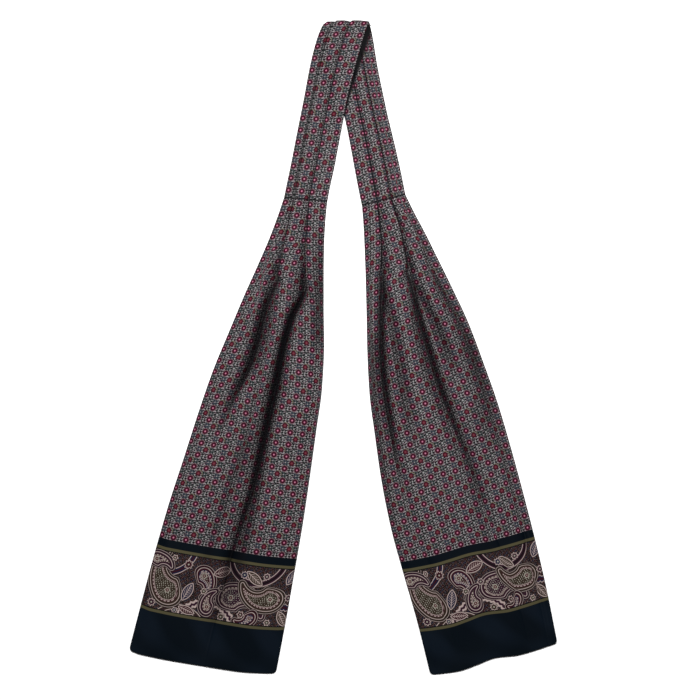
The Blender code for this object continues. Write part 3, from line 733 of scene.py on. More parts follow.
def section(blade, share, width, folds, crown):
    """The outer line of a section and how far each of its points lies across the flat cloth."""
    controls = section_controls(width, folds, crown)
    places = np.linspace(0, len(controls) - 1, (len(controls) - 1) * SAMPLES_PER_CONTROL + 1)
    line = offsets(spline(controls, places), WALL / 2)
    weights = spread_of_spare(line, places, blade["pleats"], share, width, blade["creases"])
    return line, cloth_across(line, weights)


def painted_fold_shade(across, height, depth):
    """Painted shade at each point of a section, from 0 to 1, by how far the folds beside it shut it
    in.
    """
    run = across[None, :] - across[:, None]
    angle = np.arctan2(height[None, :] - height[:, None], np.abs(run) + NEARLY_NONE)
    near = np.abs(run) < HOLLOW_REACH
    to_high = np.max(np.where((run > 0) & near, angle, 0.0), axis=1)
    to_low = np.max(np.where((run < 0) & near, angle, 0.0), axis=1)
    lean = -np.arctan2(np.gradient(height), np.gradient(across))
    high = np.minimum(math.pi / 2 - to_high, lean + math.pi / 2)
    low = np.maximum(to_low - math.pi / 2, lean - math.pi / 2)
    sky = (np.sin(high - lean) - np.sin(low - lean)) / (1 + np.cos(lean))
    return 1 - np.clip(sky, 0.0, 1.0) ** depth


def pleat_shade(painted_shade, across, width, folds, dark):
    """Painted shade with a painted dark gap under each knife pleat, and the painted shade cleared
    along the pleat's top edge.
    """
    for share, under, _, _ in folds:
        folded = smooth_step(*FOLD_SHADES_FROM, under)
        side = across - share * width
        beyond = smooth_step(FOLD_TOP_WIDTH / 2, FOLD_TOP_WIDTH, side)
        top = smooth_step(*FOLD_TOP_START, side) * (1 - beyond)
        painted_shade = painted_shade * (1 - FOLD_TOP_CLEAR * folded * top)
        gap = np.exp(-(((side + FOLD_LINE_BEFORE) / FOLD_LINE_WIDTH) ** FOLD_LINE_POWER))
        painted_shade = np.maximum(painted_shade, dark * folded * gap)
    return painted_shade


def dimmed(painted_shade, share, across, width, tables):
    """Painted shade with the tables' broad places of painted shade added or, where negative, taken
    away.
    """
    for table in tables:
        if table[0][0] < share < table[-1][0]:
            at, dark, low, high = read_row(table, DIM, share)
            shade = dark * hump(across - at * width, low, high)
            painted_shade = np.where(shade > 0, 1 - (1 - painted_shade) * (1 - shade), painted_shade * (1 + shade))
    return painted_shade


def tack_line(distance):
    """How much painted shade lies along the groove of the tack line's stitches, by distance from
    it.
    """
    return TACK_LINE * bell(distance, TACK_LINE_WIDTH)


def tack_squeezed(heights, top):
    """Heights of a section where the stitches press its pleats down to the neckband's thickness."""
    floor = BAND_FLOOR_SHARE * top
    crown = BASE + BAND_PRESSED_CROWN + WALL / 2
    pressed = floor + (heights - FLAT_TOP) * (top - floor) / (crown - FLAT_TOP)
    return np.where(heights < FLAT_TOP, heights * floor / FLAT_TOP, pressed)


def blade_shares():
    """Places of the rows of a blade, dense at its ends and with one on each border of the print."""
    shares = set(np.linspace(0, 1, BLADE_ROWS))
    shares |= {1 - distance / BLADE_LENGTH for distance in (BORDER_TOP, HEM_BAND_TOP)}
    for k in range(CORNER_ROWS):
        distance = CORNER_RADIUS * (1 - math.sin(k * math.pi / (2 * CORNER_ROWS)))
        shares.add(1 - distance / BLADE_LENGTH)
    shares |= {distance / BLADE_LENGTH for distance in (*CLOSE_ROWS, LAST_CLOSE_ROW)}
    return sorted(shares)


def print_places(blade, cloth, along):
    """Places on the flat cloth of one row, across from the viewer's left and along from the hem."""
    from_left = CUT_WIDTH - cloth if blade["mirrored"] else cloth
    return np.column_stack([from_left, np.full(len(cloth), along)])


def gathered(rows):
    """Points, print places and painted shade of a sheet's rows, each as one array."""
    return [np.array(part) for part in zip(*rows)]


def front_height(blade, share, line, width):
    """The height of a front panel across a section, with its creases and its stitched end."""
    across = line[:, 0]
    height = line[:, 1].copy()
    upper = smooth_step(BASE, FLAT_TOP, height)
    for table in blade["creases"]:
        height += upper * crease_height(share, across, width, table)
    waves = undulation(across, (1 - share) * BLADE_LENGTH)
    height += upper * waves * smooth_step(*UNDULATION_STARTS, share)
    height = np.where(upper > 0, np.maximum(height, BASE + FRONT_OVER_BASE), height)
    squeeze = 1 - smooth_step(0.0, TACK_BLEND, share)
    height += squeeze * (tack_squeezed(height, BAND_TACK_THICKNESS) - height)
    height -= upper * TACK_GROOVE * bell(share * BLADE_LENGTH, TACK_GROOVE_WIDTH)
    return height


def front_painted_shade(blade, share, across, height, width, folds):
    """The painted shade of a front panel across a section."""
    deeper = smooth_step(*TACK_HOLLOW_END, share)
    depth = TACK_HOLLOW + (HOLLOW_DEPTH - TACK_HOLLOW) * deeper
    stronger = smooth_step(*TACK_GAIN_END, share)
    gain = TACK_HOLLOW_GAIN + (blade["painted_shade"] - TACK_HOLLOW_GAIN) * stronger
    painted_shade = gain * painted_fold_shade(across, height, depth)
    painted_shade = pleat_shade(painted_shade, across, width, folds, blade["gap"])
    painted_shade = dimmed(painted_shade, share, across, width, blade["dims"])
    return np.maximum(painted_shade, tack_line(share * BLADE_LENGTH))


def front_rows(blade):
    """A front panel, row by row from the tack line to the hem."""
    rows = []
    for share in blade_shares():
        start, end = edge_points(blade["outline"], share)
        width = float(np.linalg.norm(end - start))
        folds = [read_row(table, PLEAT, share)[:4] for table in blade["pleats"]]
        crown = float(read(blade["edge_crown"], EDGE_CROWN, "crown", share))
        line, cloth = section(blade, share, width, folds, crown)
        across = line[:, 0]
        height = front_height(blade, share, line, width)
        painted_shade = front_painted_shade(blade, share, across, height, width, folds)
        along = (1 - share) * BLADE_LENGTH
        plan = blade_places(blade, share, across)
        points = np.column_stack([plan, rolled(height, along)])
        rows.append((points, print_places(blade, cloth, along), painted_shade))
    return gathered(rows)


def back_rows(blade):
    """A back panel, which lies flat with its edges turned up, row by row as the front."""
    edge = np.array(BACK_EDGE)
    margin = BACK_EDGE[-1] + BACK_EDGE_MARGIN
    flat = np.full(BACK_COLUMNS, LOWEST)
    level = np.concatenate([BACK_EDGE_HEIGHTS, flat, BACK_EDGE_HEIGHTS[::-1]])
    rows = []
    for share in blade_shares():
        start, end = edge_points(blade["outline"], share)
        width = float(np.linalg.norm(end - start))
        inner = np.linspace(margin, width - margin, BACK_COLUMNS)
        across = np.concatenate([edge, inner, width - edge[::-1]])
        along = (1 - share) * BLADE_LENGTH
        points = np.column_stack([blade_places(blade, share, across), rolled(level, along)])
        places = print_places(blade, CUT_WIDTH * across / width, along)
        rows.append((points, places, np.zeros(len(across))))
    return gathered(rows)


def band_ring(blade, width, share, thickness):
    """The closed outline of the pleated neckband, its places across the cloth and its painted
    shade.
    """
    near_tack = float(smooth_step(*BAND_STEPS_END, share))
    folds = []
    for table, step in zip(blade["pleats"], blade["band_steps"]):
        across, under, crown, depth = read_row(table, PLEAT, 0.0)[:4]
        across += (1 - near_tack) * (step - across)
        folds.append((across, under, crown if under > 0 else crown * near_tack, depth))
    crown = blade["edge_crown"][0][1]
    line, cloth = section(blade, 0.0, width, folds, crown)
    height = tack_squeezed(line[:, 1], thickness)
    insets = np.array(BAND_UNDER_INSETS)
    middle = np.linspace(BAND_UNDER_MARGIN, width - BAND_UNDER_MARGIN, BAND_UNDER_COLUMNS)
    under_x = np.concatenate([insets, middle, width - insets[::-1]])
    corner = [BAND_SIDE_SHARE * thickness, BAND_CORNER_HEIGHT]
    flat = np.full(len(under_x) - 2 * len(corner), LOWEST)
    under_z = np.concatenate([corner, flat, corner[::-1]])
    x = np.concatenate([line[:, 0], under_x[::-1]])
    z = np.concatenate([height, under_z[::-1]])
    around = CUT_WIDTH + BAND_PRINT_SKIP + (width - under_x[::-1])
    shade = painted_fold_shade(line[:, 0], BAND_HOLLOW_GAIN * height, HOLLOW_DEPTH)
    shade = pleat_shade(blade["band_painted_shade"] * shade, line[:, 0], width, folds, blade["band_gap"])
    painted_shade = np.concatenate([shade, np.zeros(len(under_x))])
    return np.column_stack([x, z]), np.concatenate([cloth, around]), painted_shade


def under_left_band(y):
    """The left edge of the right stretch of the band at a place down from the fold."""
    xs = column(RIGHT_BAND_OUTLINE, OUTLINE, "left_x")
    ys = column(RIGHT_BAND_OUTLINE, OUTLINE, "left_y")
    return np.interp(-y, -ys, xs)


def band_lift(x, y):
    """How high the left stretch rides where it crosses the right one."""
    top = BAND_THICKNESS + 2 * TURN_INNER_RADIUS
    over = smooth_step(-BAND_DROOP_RUN, -1.0, x - under_left_band(y))
    return top * over * smooth_step(BAND_LIFT_START_Y, BAND_LIFT_FULL_Y, y)


def painted_wedge_shadow(x, y):
    """Painted shadow on the band's lower stretch beside the edge of the upper one, near the fold:
    how dark.
    """
    xs = column(LEFT_BAND_OUTLINE, OUTLINE, "right_x")
    ys = column(LEFT_BAND_OUTLINE, OUTLINE, "right_y")
    beyond = np.maximum(x - np.interp(-y, -ys, xs), 0.0)
    wide = WEDGE_LINE + WEDGE_WIDTH * smooth_step(WEDGE_END_Y, WEDGE_START_Y, y)
    fade = smooth_step(WEDGE_END_Y - WEDGE_FADE, WEDGE_END_Y, y)
    return fade * (1 - smooth_step(0.0, 1.0, beyond / wide - WEDGE_CORE))


def band_rows(blade):
    """One stretch of the band, ring by ring from the tack line to the fold and round it."""
    first = FOLD_ROW if blade["turns"] else 0.0
    shares = set(np.linspace(first, 1, BAND_ROWS))
    shares |= {1 - distance / BAND_LENGTH for distance in CLOSE_ROWS}
    rows = []
    for share in sorted(shares, reverse=True):
        start, end = edge_points(blade["band_outline"], share)
        width = float(np.linalg.norm(end - start))
        thickens = smooth_step(*BAND_THICKENS, share)
        thickness = BAND_THICKNESS + (BAND_TACK_THICKNESS - BAND_THICKNESS) * thickens
        ring, cloth, painted_shade = band_ring(blade, width, share, thickness)
        if blade["mirrored"]:
            start, end = end, start
        plan = start + np.outer(ring[:, 0] / width, end - start)
        distance = (1 - share) * BAND_LENGTH
        top = smooth_step(*TACK_GROOVE_TOP, ring[:, 1] / thickness)
        height = ring[:, 1] - top * TACK_GROOVE * bell(distance, TACK_GROOVE_WIDTH)
        if blade["turns"]:
            height = height + band_lift(plan[:, 0], plan[:, 1])
        else:
            # The painted shadow of the upper stretch on this lower one
            painted_shade = np.maximum(painted_shade, painted_wedge_shadow(plan[:, 0], plan[:, 1]))
        points = np.column_stack([plan, height])
        places = print_places(blade, cloth, BLADE_LENGTH + distance)
        rows.append((points, places, np.maximum(painted_shade, tack_line(distance))))
    if blade["turns"]:
        rows += turn_rows(blade)
    return gathered(rows)


def turn_rows(blade):
    """Rings round the fold of the neckband, from the top layer down to the layer beneath."""
    (_, left_x, left_y, right_x, _), (_, next_left, _, next_right, _) = blade["band_outline"][:2]
    radius = BAND_THICKNESS + TURN_INNER_RADIUS
    centre_y = left_y - radius
    rows = []
    for angle in np.linspace(0, math.pi, TURN_ROWS + 1)[1:]:
        out = math.sin(angle)
        lean = (1 - out) * math.cos(angle)
        start = left_x + (next_left - left_x) * lean
        end = right_x + (next_right - right_x) * lean
        ring, cloth, painted_shade = band_ring(blade, end - start, FOLD_ROW, BAND_THICKNESS)
        from_centre = TURN_INNER_RADIUS + ring[:, 1]
        x = start + ring[:, 0]
        y = centre_y + from_centre * out
        z = radius + from_centre * math.cos(angle)
        along = BLADE_LENGTH + BAND_LENGTH * (1 - FOLD_ROW) + radius * angle
        rows.append((np.column_stack([x, y, z]), print_places(blade, cloth, along), painted_shade))
    return rows


class Field:
    """A number that varies over the cloth, carried by one output of a shader node."""

    def __init__(self, tree, socket):
        self.tree = tree
        self.socket = socket

    def apply(self, operation, *others, clamp=False):
        node = self.tree.nodes.new("ShaderNodeMath")
        node.operation = operation
        node.use_clamp = clamp
        for slot, value in zip(node.inputs, (self, *others)):
            if isinstance(value, Field):
                self.tree.links.new(value.socket, slot)
            else:
                slot.default_value = value
        return Field(self.tree, node.outputs[0])

    def __add__(self, other):
        return self.apply("ADD", other)

    def __sub__(self, other):
        return self.apply("SUBTRACT", other)

    def __mul__(self, other):
        return self.apply("MULTIPLY", other)

    def __truediv__(self, other):
        return self.apply("DIVIDE", other)

    def __neg__(self):
        return self.apply("MULTIPLY", -1.0)

    def size(self):
        return self.apply("ABSOLUTE")

    def fract(self):
        return self.apply("FRACT")

    def sine(self):
        return self.apply("SINE")


def either(first, second):
    """Where one of two masks holds. Where both hold is their product."""
    return first.apply("MAXIMUM", second)


def below(field, edge, soft=SOFT_EDGE):
    """A mask of where a field is below an edge."""
    return field.apply("MULTIPLY_ADD", -1.0 / soft, edge / soft + 0.5, clamp=True)


def above(field, edge, soft=SOFT_EDGE):
    """A mask of where a field is above an edge."""
    return field.apply("MULTIPLY_ADD", 1.0 / soft, 0.5 - edge / soft, clamp=True)


def close_to(field, middle, half, soft=SOFT_EDGE):
    """A mask of where a field lies within a half width of a middle value."""
    return below((field - middle).size(), half, soft)


def reach(x, y):
    """The distance of a place from the origin of its own coordinates."""
    return (x * x + y * y).apply("SQRT")


def turned(x, y, degrees):
    """Coordinates in a frame turned by an angle."""
    c = math.cos(math.radians(degrees))
    s = math.sin(math.radians(degrees))
    return x * c + y * s, y * c - x * s


def colour(red, green, blue):
    """A printed colour, given as on a screen from 0 to 255, as the shader's linear one."""
    parts = []
    for part in (red, green, blue):
        share = part / 255
        parts.append(share / 12.92 if share <= 0.04045 else ((share + 0.055) / 1.055) ** 2.4)
    return (*parts, 1.0)


class Print:
    """Colours printed over one another on the cloth."""

    def __init__(self, tree, ground):
        self.tree = tree
        self.top = ground

    def lay(self, paint, mask):
        node = self.tree.nodes.new("ShaderNodeMix")
        node.data_type = "RGBA"
        self.tree.links.new(mask.socket, node.inputs["Factor"])
        for slot, value in ((node.inputs[6], self.top), (node.inputs[7], paint)):
            if isinstance(value, tuple):
                slot.default_value = value
            else:
                self.tree.links.new(value, slot)
        self.top = node.outputs[2]

    def rings(self, distance, *rings):
        """Lays colours over one another, each where the distance is below its edge."""
        for paint, edge, *soft in rings:
            self.lay(paint, below(distance, edge, *soft))


SAGE = colour(64, 61, 62)
PALE = colour(122, 119, 120)
INK = colour(12, 13, 14)
MAUVE = colour(86, 64, 75)
TEAL = colour(54, 62, 64)
CRIMSON = colour(50, 7, 25)
GARNET = colour(36, 5, 17)
PINK = colour(156, 92, 114)
BLUSH = colour(100, 74, 80)
RUSSET = colour(58, 12, 24)
RUST = colour(92, 42, 50)
OLIVE = colour(80, 76, 52)
CREAM = colour(128, 124, 114)
NAVY = colour(4, 9, 15)
BLUE = colour(30, 34, 46)
BOTTLE = colour(16, 24, 24)
STRIPE = colour(64, 60, 42)
BLACK = colour(5, 6, 8)
# The colour of the painted shade, laid over the print in folds, under pleats and along the tack
# line
SHADE = colour(5, 4, 6)
# A lighter navy for the patches of painted sheen on the hem
NAVY_SHEEN = colour(8, 15, 23)
THREAD = colour(34, 22, 28)

# Waves of the fine tracery between the motifs: turns across and along one cell, and a shift
LEAFY_WAVES = ((4, 4, 0.0), (6, -1, 1.1), (1, 5, 2.3), (-4, 4, 0.7), (3, -5, 1.9))
VINE_WAVES = ((4, 2, 0.5), (4, -3, 2.9), (-1, 5, 1.7), (5, 1, 0.2))
TINT_WAVES = ((2, 1, 0.3), (-1, 2, 1.9), (2, -2, 2.6))
# The same for the patches of painted sheen on the navy of the hem, whose cell is larger
NAVY_SHEEN_WAVES = ((1, 0, 0.4), (1, 1, 2.0))
NAVY_SHEEN_CELL = (60.0, 40.0)


def wave_sum(a, b, waves):
    """Crossing waves that repeat with the lattice."""
    total = None
    for across, along, shift in waves:
        phase = a.apply("MULTIPLY_ADD", 2 * math.pi * across, shift)
        wave = b.apply("MULTIPLY_ADD", 2 * math.pi * along, phase).sine()
        total = wave if total is None else total + wave
    return total


def petalled(x, y, distance, petals, depth):
    """A distance that waves in and out round a flower."""
    angle = y.apply("ARCTAN2", x)
    return distance * ((angle * petals).apply("COSINE") * -depth + 1.0)


def tracery(tree, ground, a, b):
    """Cloth of one colour, and the three sums of waves that the tracery on it is made of."""
    sums = [wave_sum(a, b, waves) for waves in (LEAFY_WAVES, VINE_WAVES, TINT_WAVES)]
    return Print(tree, ground), *sums


def foulard(tree, u, v):
    """The all-over print of rosettes, discs, dots and crossed sprigs on a fine tracery."""
    a = (u - FIRST_COLUMN) / PITCH_ACROSS
    b = (v - FIRST_ROW) / PITCH_ALONG
    rose_x = ((a + 0.5).fract() - 0.5) * PITCH_ACROSS
    rose_y = ((b + 0.5).fract() - 0.5) * PITCH_ALONG
    mid_x = (a.fract() - 0.5) * PITCH_ACROSS
    mid_y = (b.fract() - 0.5) * PITCH_ALONG
    parity = ((a.apply("FLOOR") + b.apply("FLOOR")) * 0.5).fract()
    is_disc = below(parity, 0.25, 0.01)
    is_dot = above(parity, 0.25, 0.01)

    cloth, leafy, vine, tint = tracery(tree, SAGE, a, b)
    cloth.lay(MAUVE, above(tint, 0.7, 0.6))
    cloth.lay(TEAL, below(tint, -1.1, 0.5))
    cloth.lay(PALE, above(leafy, 0.75, 0.45))
    cloth.lay(INK, below(leafy, -0.9, 0.45))
    cloth.lay(INK, above(vine, 1.5, 0.3))
    cloth.lay(PALE, close_to(vine, -0.9, 0.22, 0.2))

    sprig_x, sprig_y = turned(rose_x, mid_y, 45)
    sprig_reach = reach(rose_x, mid_y)
    is_cool = below((((a + 0.5).apply("FLOOR") + b.apply("FLOOR")) * 0.5).fract(), 0.25, 0.01)
    cloth.lay(TEAL, below(sprig_reach, 2.7, 0.8) * above(leafy, -0.2, 0.6))
    along_arm = sprig_x.size().apply("MAXIMUM", sprig_y.size())
    beside_arm = sprig_x.size().apply("MINIMUM", sprig_y.size())
    arm = below(reach((along_arm - 1.8) / 1.25, beside_arm / 0.62), 1.0)
    cloth.lay(BOTTLE, arm)
    cloth.lay(BLUE, arm * is_cool)
    cloth.rings(sprig_reach, (PALE, 0.55))

    for lean in (40, -40):
        leaf_x, leaf_y = turned(mid_x, rose_y, lean)
        cloth.rings(reach((leaf_x.size() - 1.9) / 1.3, leaf_y / 0.7), (INK, 1.0))
    cloth.rings(reach(mid_x, rose_y), (PALE, 0.7))

    rose = petalled(rose_x, rose_y, reach(rose_x, rose_y), 8, 0.04)
    cloth.rings(rose, (BLUSH, 3.1, 0.4), (GARNET, 2.65))
    cloth.lay(CRIMSON, close_to(rose, 1.6, 0.5, 0.3))
    cloth.rings(rose, (PINK, 0.8, 0.3))

    middle = reach(mid_x, mid_y)
    disc = petalled(mid_x, mid_y, middle, 6, 0.05)
    spray = close_to(reach(mid_x - 0.4, mid_y + 0.3), 3.3, 0.28) * above(mid_x + mid_y, 2.0, 0.4)
    cloth.lay(OLIVE, spray * is_disc)
    for paint, edge, soft in ((GARNET, 2.6, SOFT_EDGE), (RUSSET, 2.1, 0.4), (RUST, 1.0, 0.6)):
        cloth.lay(paint, below(disc, edge, soft) * is_disc)

    beads = above((mid_y.apply("ARCTAN2", mid_x) * 6).apply("COSINE"), 0.0, 0.6)
    cloth.lay(INK, close_to(middle, 2.7, 0.6) * (beads * is_dot))
    cloth.lay(BOTTLE, below(middle, 1.75) * is_dot)
    cloth.lay(PALE, below(middle, 0.95, 0.3) * is_dot)
    return cloth.top


# Paisley border. Places are across the blade from its left edge and up from the lower stripe.
# Arcs have an across, up, radius, half width, number of scallops and paint.
ARCS = (
    (14, 62, 26, 2.0, 0, "navy"),
    (64, -14, 30, 2.4, 22, "cream"),
    (103, 66, 27, 2.0, 0, "plum"),
    (132, -6, 26, 2.2, 20, "navy"),
    (38, -20, 27, 1.6, 0, "olive"),
)
# Bent drops have an across, up, radius, turn, curl, length and paint. The last two measures are in
# radii.
BOTEHS = (
    (22, 20, 12.5, 62, 1.9, 3.3, "maroon"),
    (53, 39, 7.0, -118, 1.8, 3.4, "navy"),
    (84, 23, 11.5, -58, 1.8, 3.5, "olive"),
    (121, 26, 10.5, 118, 1.9, 3.3, "maroon"),
    (62, 11, 5.6, 30, 1.9, 3.2, "olive"),
    (105, 7, 5.0, 160, 1.8, 3.2, "navy"),
    (5, 46, 6.0, -60, 1.9, 3.0, "olive"),
)
# Leaves have an across, up, length, width, turn and paint.
LEAVES = (
    (41, 22, 9.0, 4.2, 70, "navy"),
    (70, 45, 9.0, 4.4, 20, "maroon"),
    (103, 44, 9.5, 4.0, -35, "olive"),
    (44, 5, 8.0, 3.4, -15, "maroon"),
    (138, 48, 8.0, 4.2, 60, "navy"),
    (135, 8, 8.0, 3.6, -60, "olive"),
)
# Florets have an across, up, radius, number of petals and paint.
FLORETS = (
    (36, 47, 3.4, 8, "maroon"),
    (72, 30, 2.6, 6, "plum"),
    (93, 46, 2.8, 8, "navy"),
    (10, 6, 3.0, 8, "plum"),
    (96, 9, 2.6, 6, "maroon"),
    (56, 25, 2.4, 6, "olive"),
    (114, 47, 2.6, 8, "plum"),
    (33, 3, 2.2, 6, "navy"),
    (78, 4, 2.8, 8, "olive"),
    (138, 28, 2.8, 8, "plum"),
    (22, 51, 2.2, 6, "maroon"),
    (122, 4, 2.4, 6, "olive"),
)
MAROON = colour(40, 11, 19)
PLUM = colour(38, 17, 30)
EARTH = colour(14, 9, 10)
MOSS = colour(40, 31, 24)
SHELL = colour(146, 130, 126)
INDIGO = colour(18, 21, 42)
PAINTS = {
    "maroon": (MAROON, MOSS),
    "navy": (INDIGO, MAROON),
    "olive": (MOSS, PLUM),
    "plum": (PLUM, EARTH),
    "cream": (SHELL, PLUM),
}
PAISLEY_CELL = 9.0
DROP_TIP = 0.12
SCALLOP_DEPTH = 1.3
BEAD_PITCH = 2.4


def boteh_distance(x, y, curl, length):
    """How far a place lies outside a bent drop with a body of radius 1, and its bent places."""
    swing_x = -(x - curl)
    across = -(reach(swing_x, y) - curl)
    along = y.apply("ARCTAN2", swing_x) * curl
    slope = (1 - DROP_TIP) / length
    steep = math.sqrt(1 - slope * slope)
    side = across.size()
    up = along.apply("MAXIMUM", 0.0)
    flank = side * steep + up * slope - 1.0
    body = reach(side, along) - 1.0
    end = reach(side, along - length) - DROP_TIP
    rising = along * steep - side * slope
    in_body = below(rising, 0.0, 0.02)
    past_end = above(rising, length * steep, 0.02)
    drop = flank + (body - flank) * in_body
    return drop + (end - drop) * past_end, across, along


def banded(cloth, distance, dots, main, second):
    """Lays a motif as bands that follow its edge, with a row of dots between them."""
    cloth.rings(distance, (second, 3.5))
    cloth.lay(BLACK, close_to(distance, 2.6, 0.7))
    cloth.lay(SHELL, close_to(distance, 2.6, 0.18))
    cloth.rings(distance, (BLACK, 1.1), (SHELL, 0.65), (second, 0.05), (main, -1.5))
    cloth.lay(SHELL, close_to(distance, -2.4, 0.38) * dots)
    cloth.lay(SHELL, close_to(distance, -3.5, 0.26))
    cloth.rings(distance, (second, -3.8))


def paisley(tree, u, v):
    """The border of bent drops, leaves, scalloped arcs and florets over a dark tracery."""
    up = v - (LOWER_STRIPE + STRIPE_HALF_WIDTH)
    cloth, leafy, vine, tint = tracery(tree, EARTH, u / PAISLEY_CELL, up / PAISLEY_CELL)
    cloth.lay(MAROON, above(tint, 0.5, 0.3))
    cloth.lay(INDIGO, below(tint, -0.9, 0.3))
    cloth.lay(MOSS, above(leafy, 0.9, 0.3))
    cloth.lay(SHELL, close_to(vine, 0.35, 0.07, 0.10))
    cloth.lay(BLACK, close_to(leafy, -1.5, 0.3, 0.25))

    for across, height, radius, half, scallops, paint in ARCS:
        main, second = PAINTS[paint]
        x = u - across
        y = up - height
        distance = reach(x, y) - radius
        if scallops:
            bumps = (y.apply("ARCTAN2", x) * scallops).sine().size()
            distance = distance + bumps * SCALLOP_DEPTH
        depth = distance.size() - half
        cloth.rings(depth, (BLACK, 1.3), (SHELL, 0.9), (main, 0.2), (second, -1.2))

    for across, height, radius, turn, curl, length, paint in BOTEHS:
        main, second = PAINTS[paint]
        x, y = turned(u - across, up - height, turn)
        shape, side, along = boteh_distance(x / radius, y / radius, curl, length)
        distance = shape * radius
        beads = close_to((along * (radius / BEAD_PITCH)).fract(), 0.5, 0.3, 0.15)
        banded(cloth, distance, beads, main, second)
        cloth.lay(CREAM, below(distance, -4.2) * above(vine, 1.5, 0.25))
        heart = reach(side, along) * radius
        flower = petalled(side, along, heart, 6, 0.16)
        inside = below(distance, -3.6)
        cloth.lay(CREAM, below(flower, 2.6) * inside)
        cloth.lay(RUSSET, below(flower, 1.7) * inside)
        cloth.rings(heart, (CREAM, 0.6))

    for across, height, length, width, turn, paint in LEAVES:
        main, _ = PAINTS[paint]
        x, y = turned(u - across, up - height, turn)
        bulge = (length * length - width * width) / (2 * width)
        distance = reach(x, y.size() + bulge) - (bulge + width)
        cloth.rings(distance, (BLACK, 0.9), (SHELL, 0.55), (main, -0.2))
        veins = close_to(((x - y.size()) * 0.45).fract(), 0.5, 0.12, 0.1)
        veins = either(veins, below(y.size(), 0.28))
        cloth.lay(SHELL, veins * below(distance, -1.0))

    for across, height, radius, petals, paint in FLORETS:
        main, _ = PAINTS[paint]
        x = u - across
        y = up - height
        distance = petalled(x, y, reach(x, y), petals, 0.16) - radius
        cloth.rings(distance, (BLACK, 0.8), (SHELL, 0.4), (main, -0.35), (CREAM, 0.8 - radius))
    return cloth


def border(tree, u, v):
    """The printed border: paisley between two olive stripes, with plain navy beyond them."""
    cloth = paisley(tree, u, v)
    for middle, inward in ((LOWER_STRIPE, 1), (UPPER_STRIPE, -1)):
        beyond = (v - middle) * -inward
        cloth.lay(BLACK, above(beyond, -STRIPE_HALF_WIDTH - STRIPE_LINE_WIDTH))
        cloth.lay(STRIPE, above(beyond, -STRIPE_HALF_WIDTH))
        cloth.lay(NAVY, above(beyond, STRIPE_HALF_WIDTH))
    return cloth.top


def plain_navy(tree, u, v):
    """The unprinted navy of the hem, with soft lighter patches of painted sheen."""
    cloth = Print(tree, NAVY)
    waves = wave_sum(u / NAVY_SHEEN_CELL[0], v / NAVY_SHEEN_CELL[1], NAVY_SHEEN_WAVES)
    # Patches of painted sheen
    cloth.lay(NAVY_SHEEN, above(waves, 0.4, 2.0))
    return cloth.top


# Printed silk: its shader, and the pitch, strength and height in metres of its diagonal rib
SILK = {
    "Metallic": 0.0,
    "Specular IOR Level": 0.03,
    "Sheen Weight": 0.01,
    "Sheen Roughness": 0.35,
    "Sheen Tint": (0.75, 0.82, 1.0, 1.0),
}
TWILL_PITCH = 0.45
TWILL_BUMP = 0.25
TWILL_HEIGHT = 0.00002


def add_material(name, inputs):
    """A material with values for its shader's inputs."""
    material = bpy.data.materials.new(name)
    material.use_nodes = True
    shader = material.node_tree.nodes["Principled BSDF"]
    for socket, value in inputs.items():
        shader.inputs[socket].default_value = value
    return material


def cloth_places(tree):
    """The place across and along the flat cloth, in millimetres."""
    uv = tree.nodes.new("ShaderNodeUVMap")
    uv.uv_map = "Print"
    split = tree.nodes.new("ShaderNodeSeparateXYZ")
    tree.links.new(uv.outputs[0], split.inputs[0])
    return Field(tree, split.outputs[0]), Field(tree, split.outputs[1])


def silk(name, pattern, roughness):
    """Printed silk twill with a fine diagonal rib, a soft sheen and painted shade laid over its
    print.
    """
    material = add_material(name, {"Roughness": roughness, **SILK})
    tree = material.node_tree
    shader = tree.nodes["Principled BSDF"]
    u, v = cloth_places(tree)
    cloth = Print(tree, pattern(tree, u, v))
    # Painted shade: SHADE laid over the print as far as the sheet's painted shade attribute says
    painted_shade = tree.nodes.new("ShaderNodeAttribute")
    painted_shade.attribute_name = "PaintedShade"
    cloth.lay(SHADE, Field(tree, painted_shade.outputs["Fac"]))
    tree.links.new(cloth.top, shader.inputs["Base Color"])
    rib = ((u + v) * (2 * math.pi / TWILL_PITCH)).sine()
    bump = tree.nodes.new("ShaderNodeBump")
    bump.inputs["Strength"].default_value = TWILL_BUMP
    bump.inputs["Distance"].default_value = TWILL_HEIGHT
    tree.links.new(rib.socket, bump.inputs["Height"])
    tree.links.new(bump.outputs[0], shader.inputs["Normal"])
    return material


def add_mesh(name, points, faces, materials):
    """A smooth mesh in the scene."""
    mesh = bpy.data.meshes.new(name)
    mesh.from_pydata(points, [], faces)
    for material in materials:
        mesh.materials.append(material)
    mesh.polygons.foreach_set("use_smooth", [True] * len(faces))
    mesh.update()
    piece = bpy.data.objects.new(name, mesh)
    bpy.context.scene.collection.objects.link(piece)
    return piece


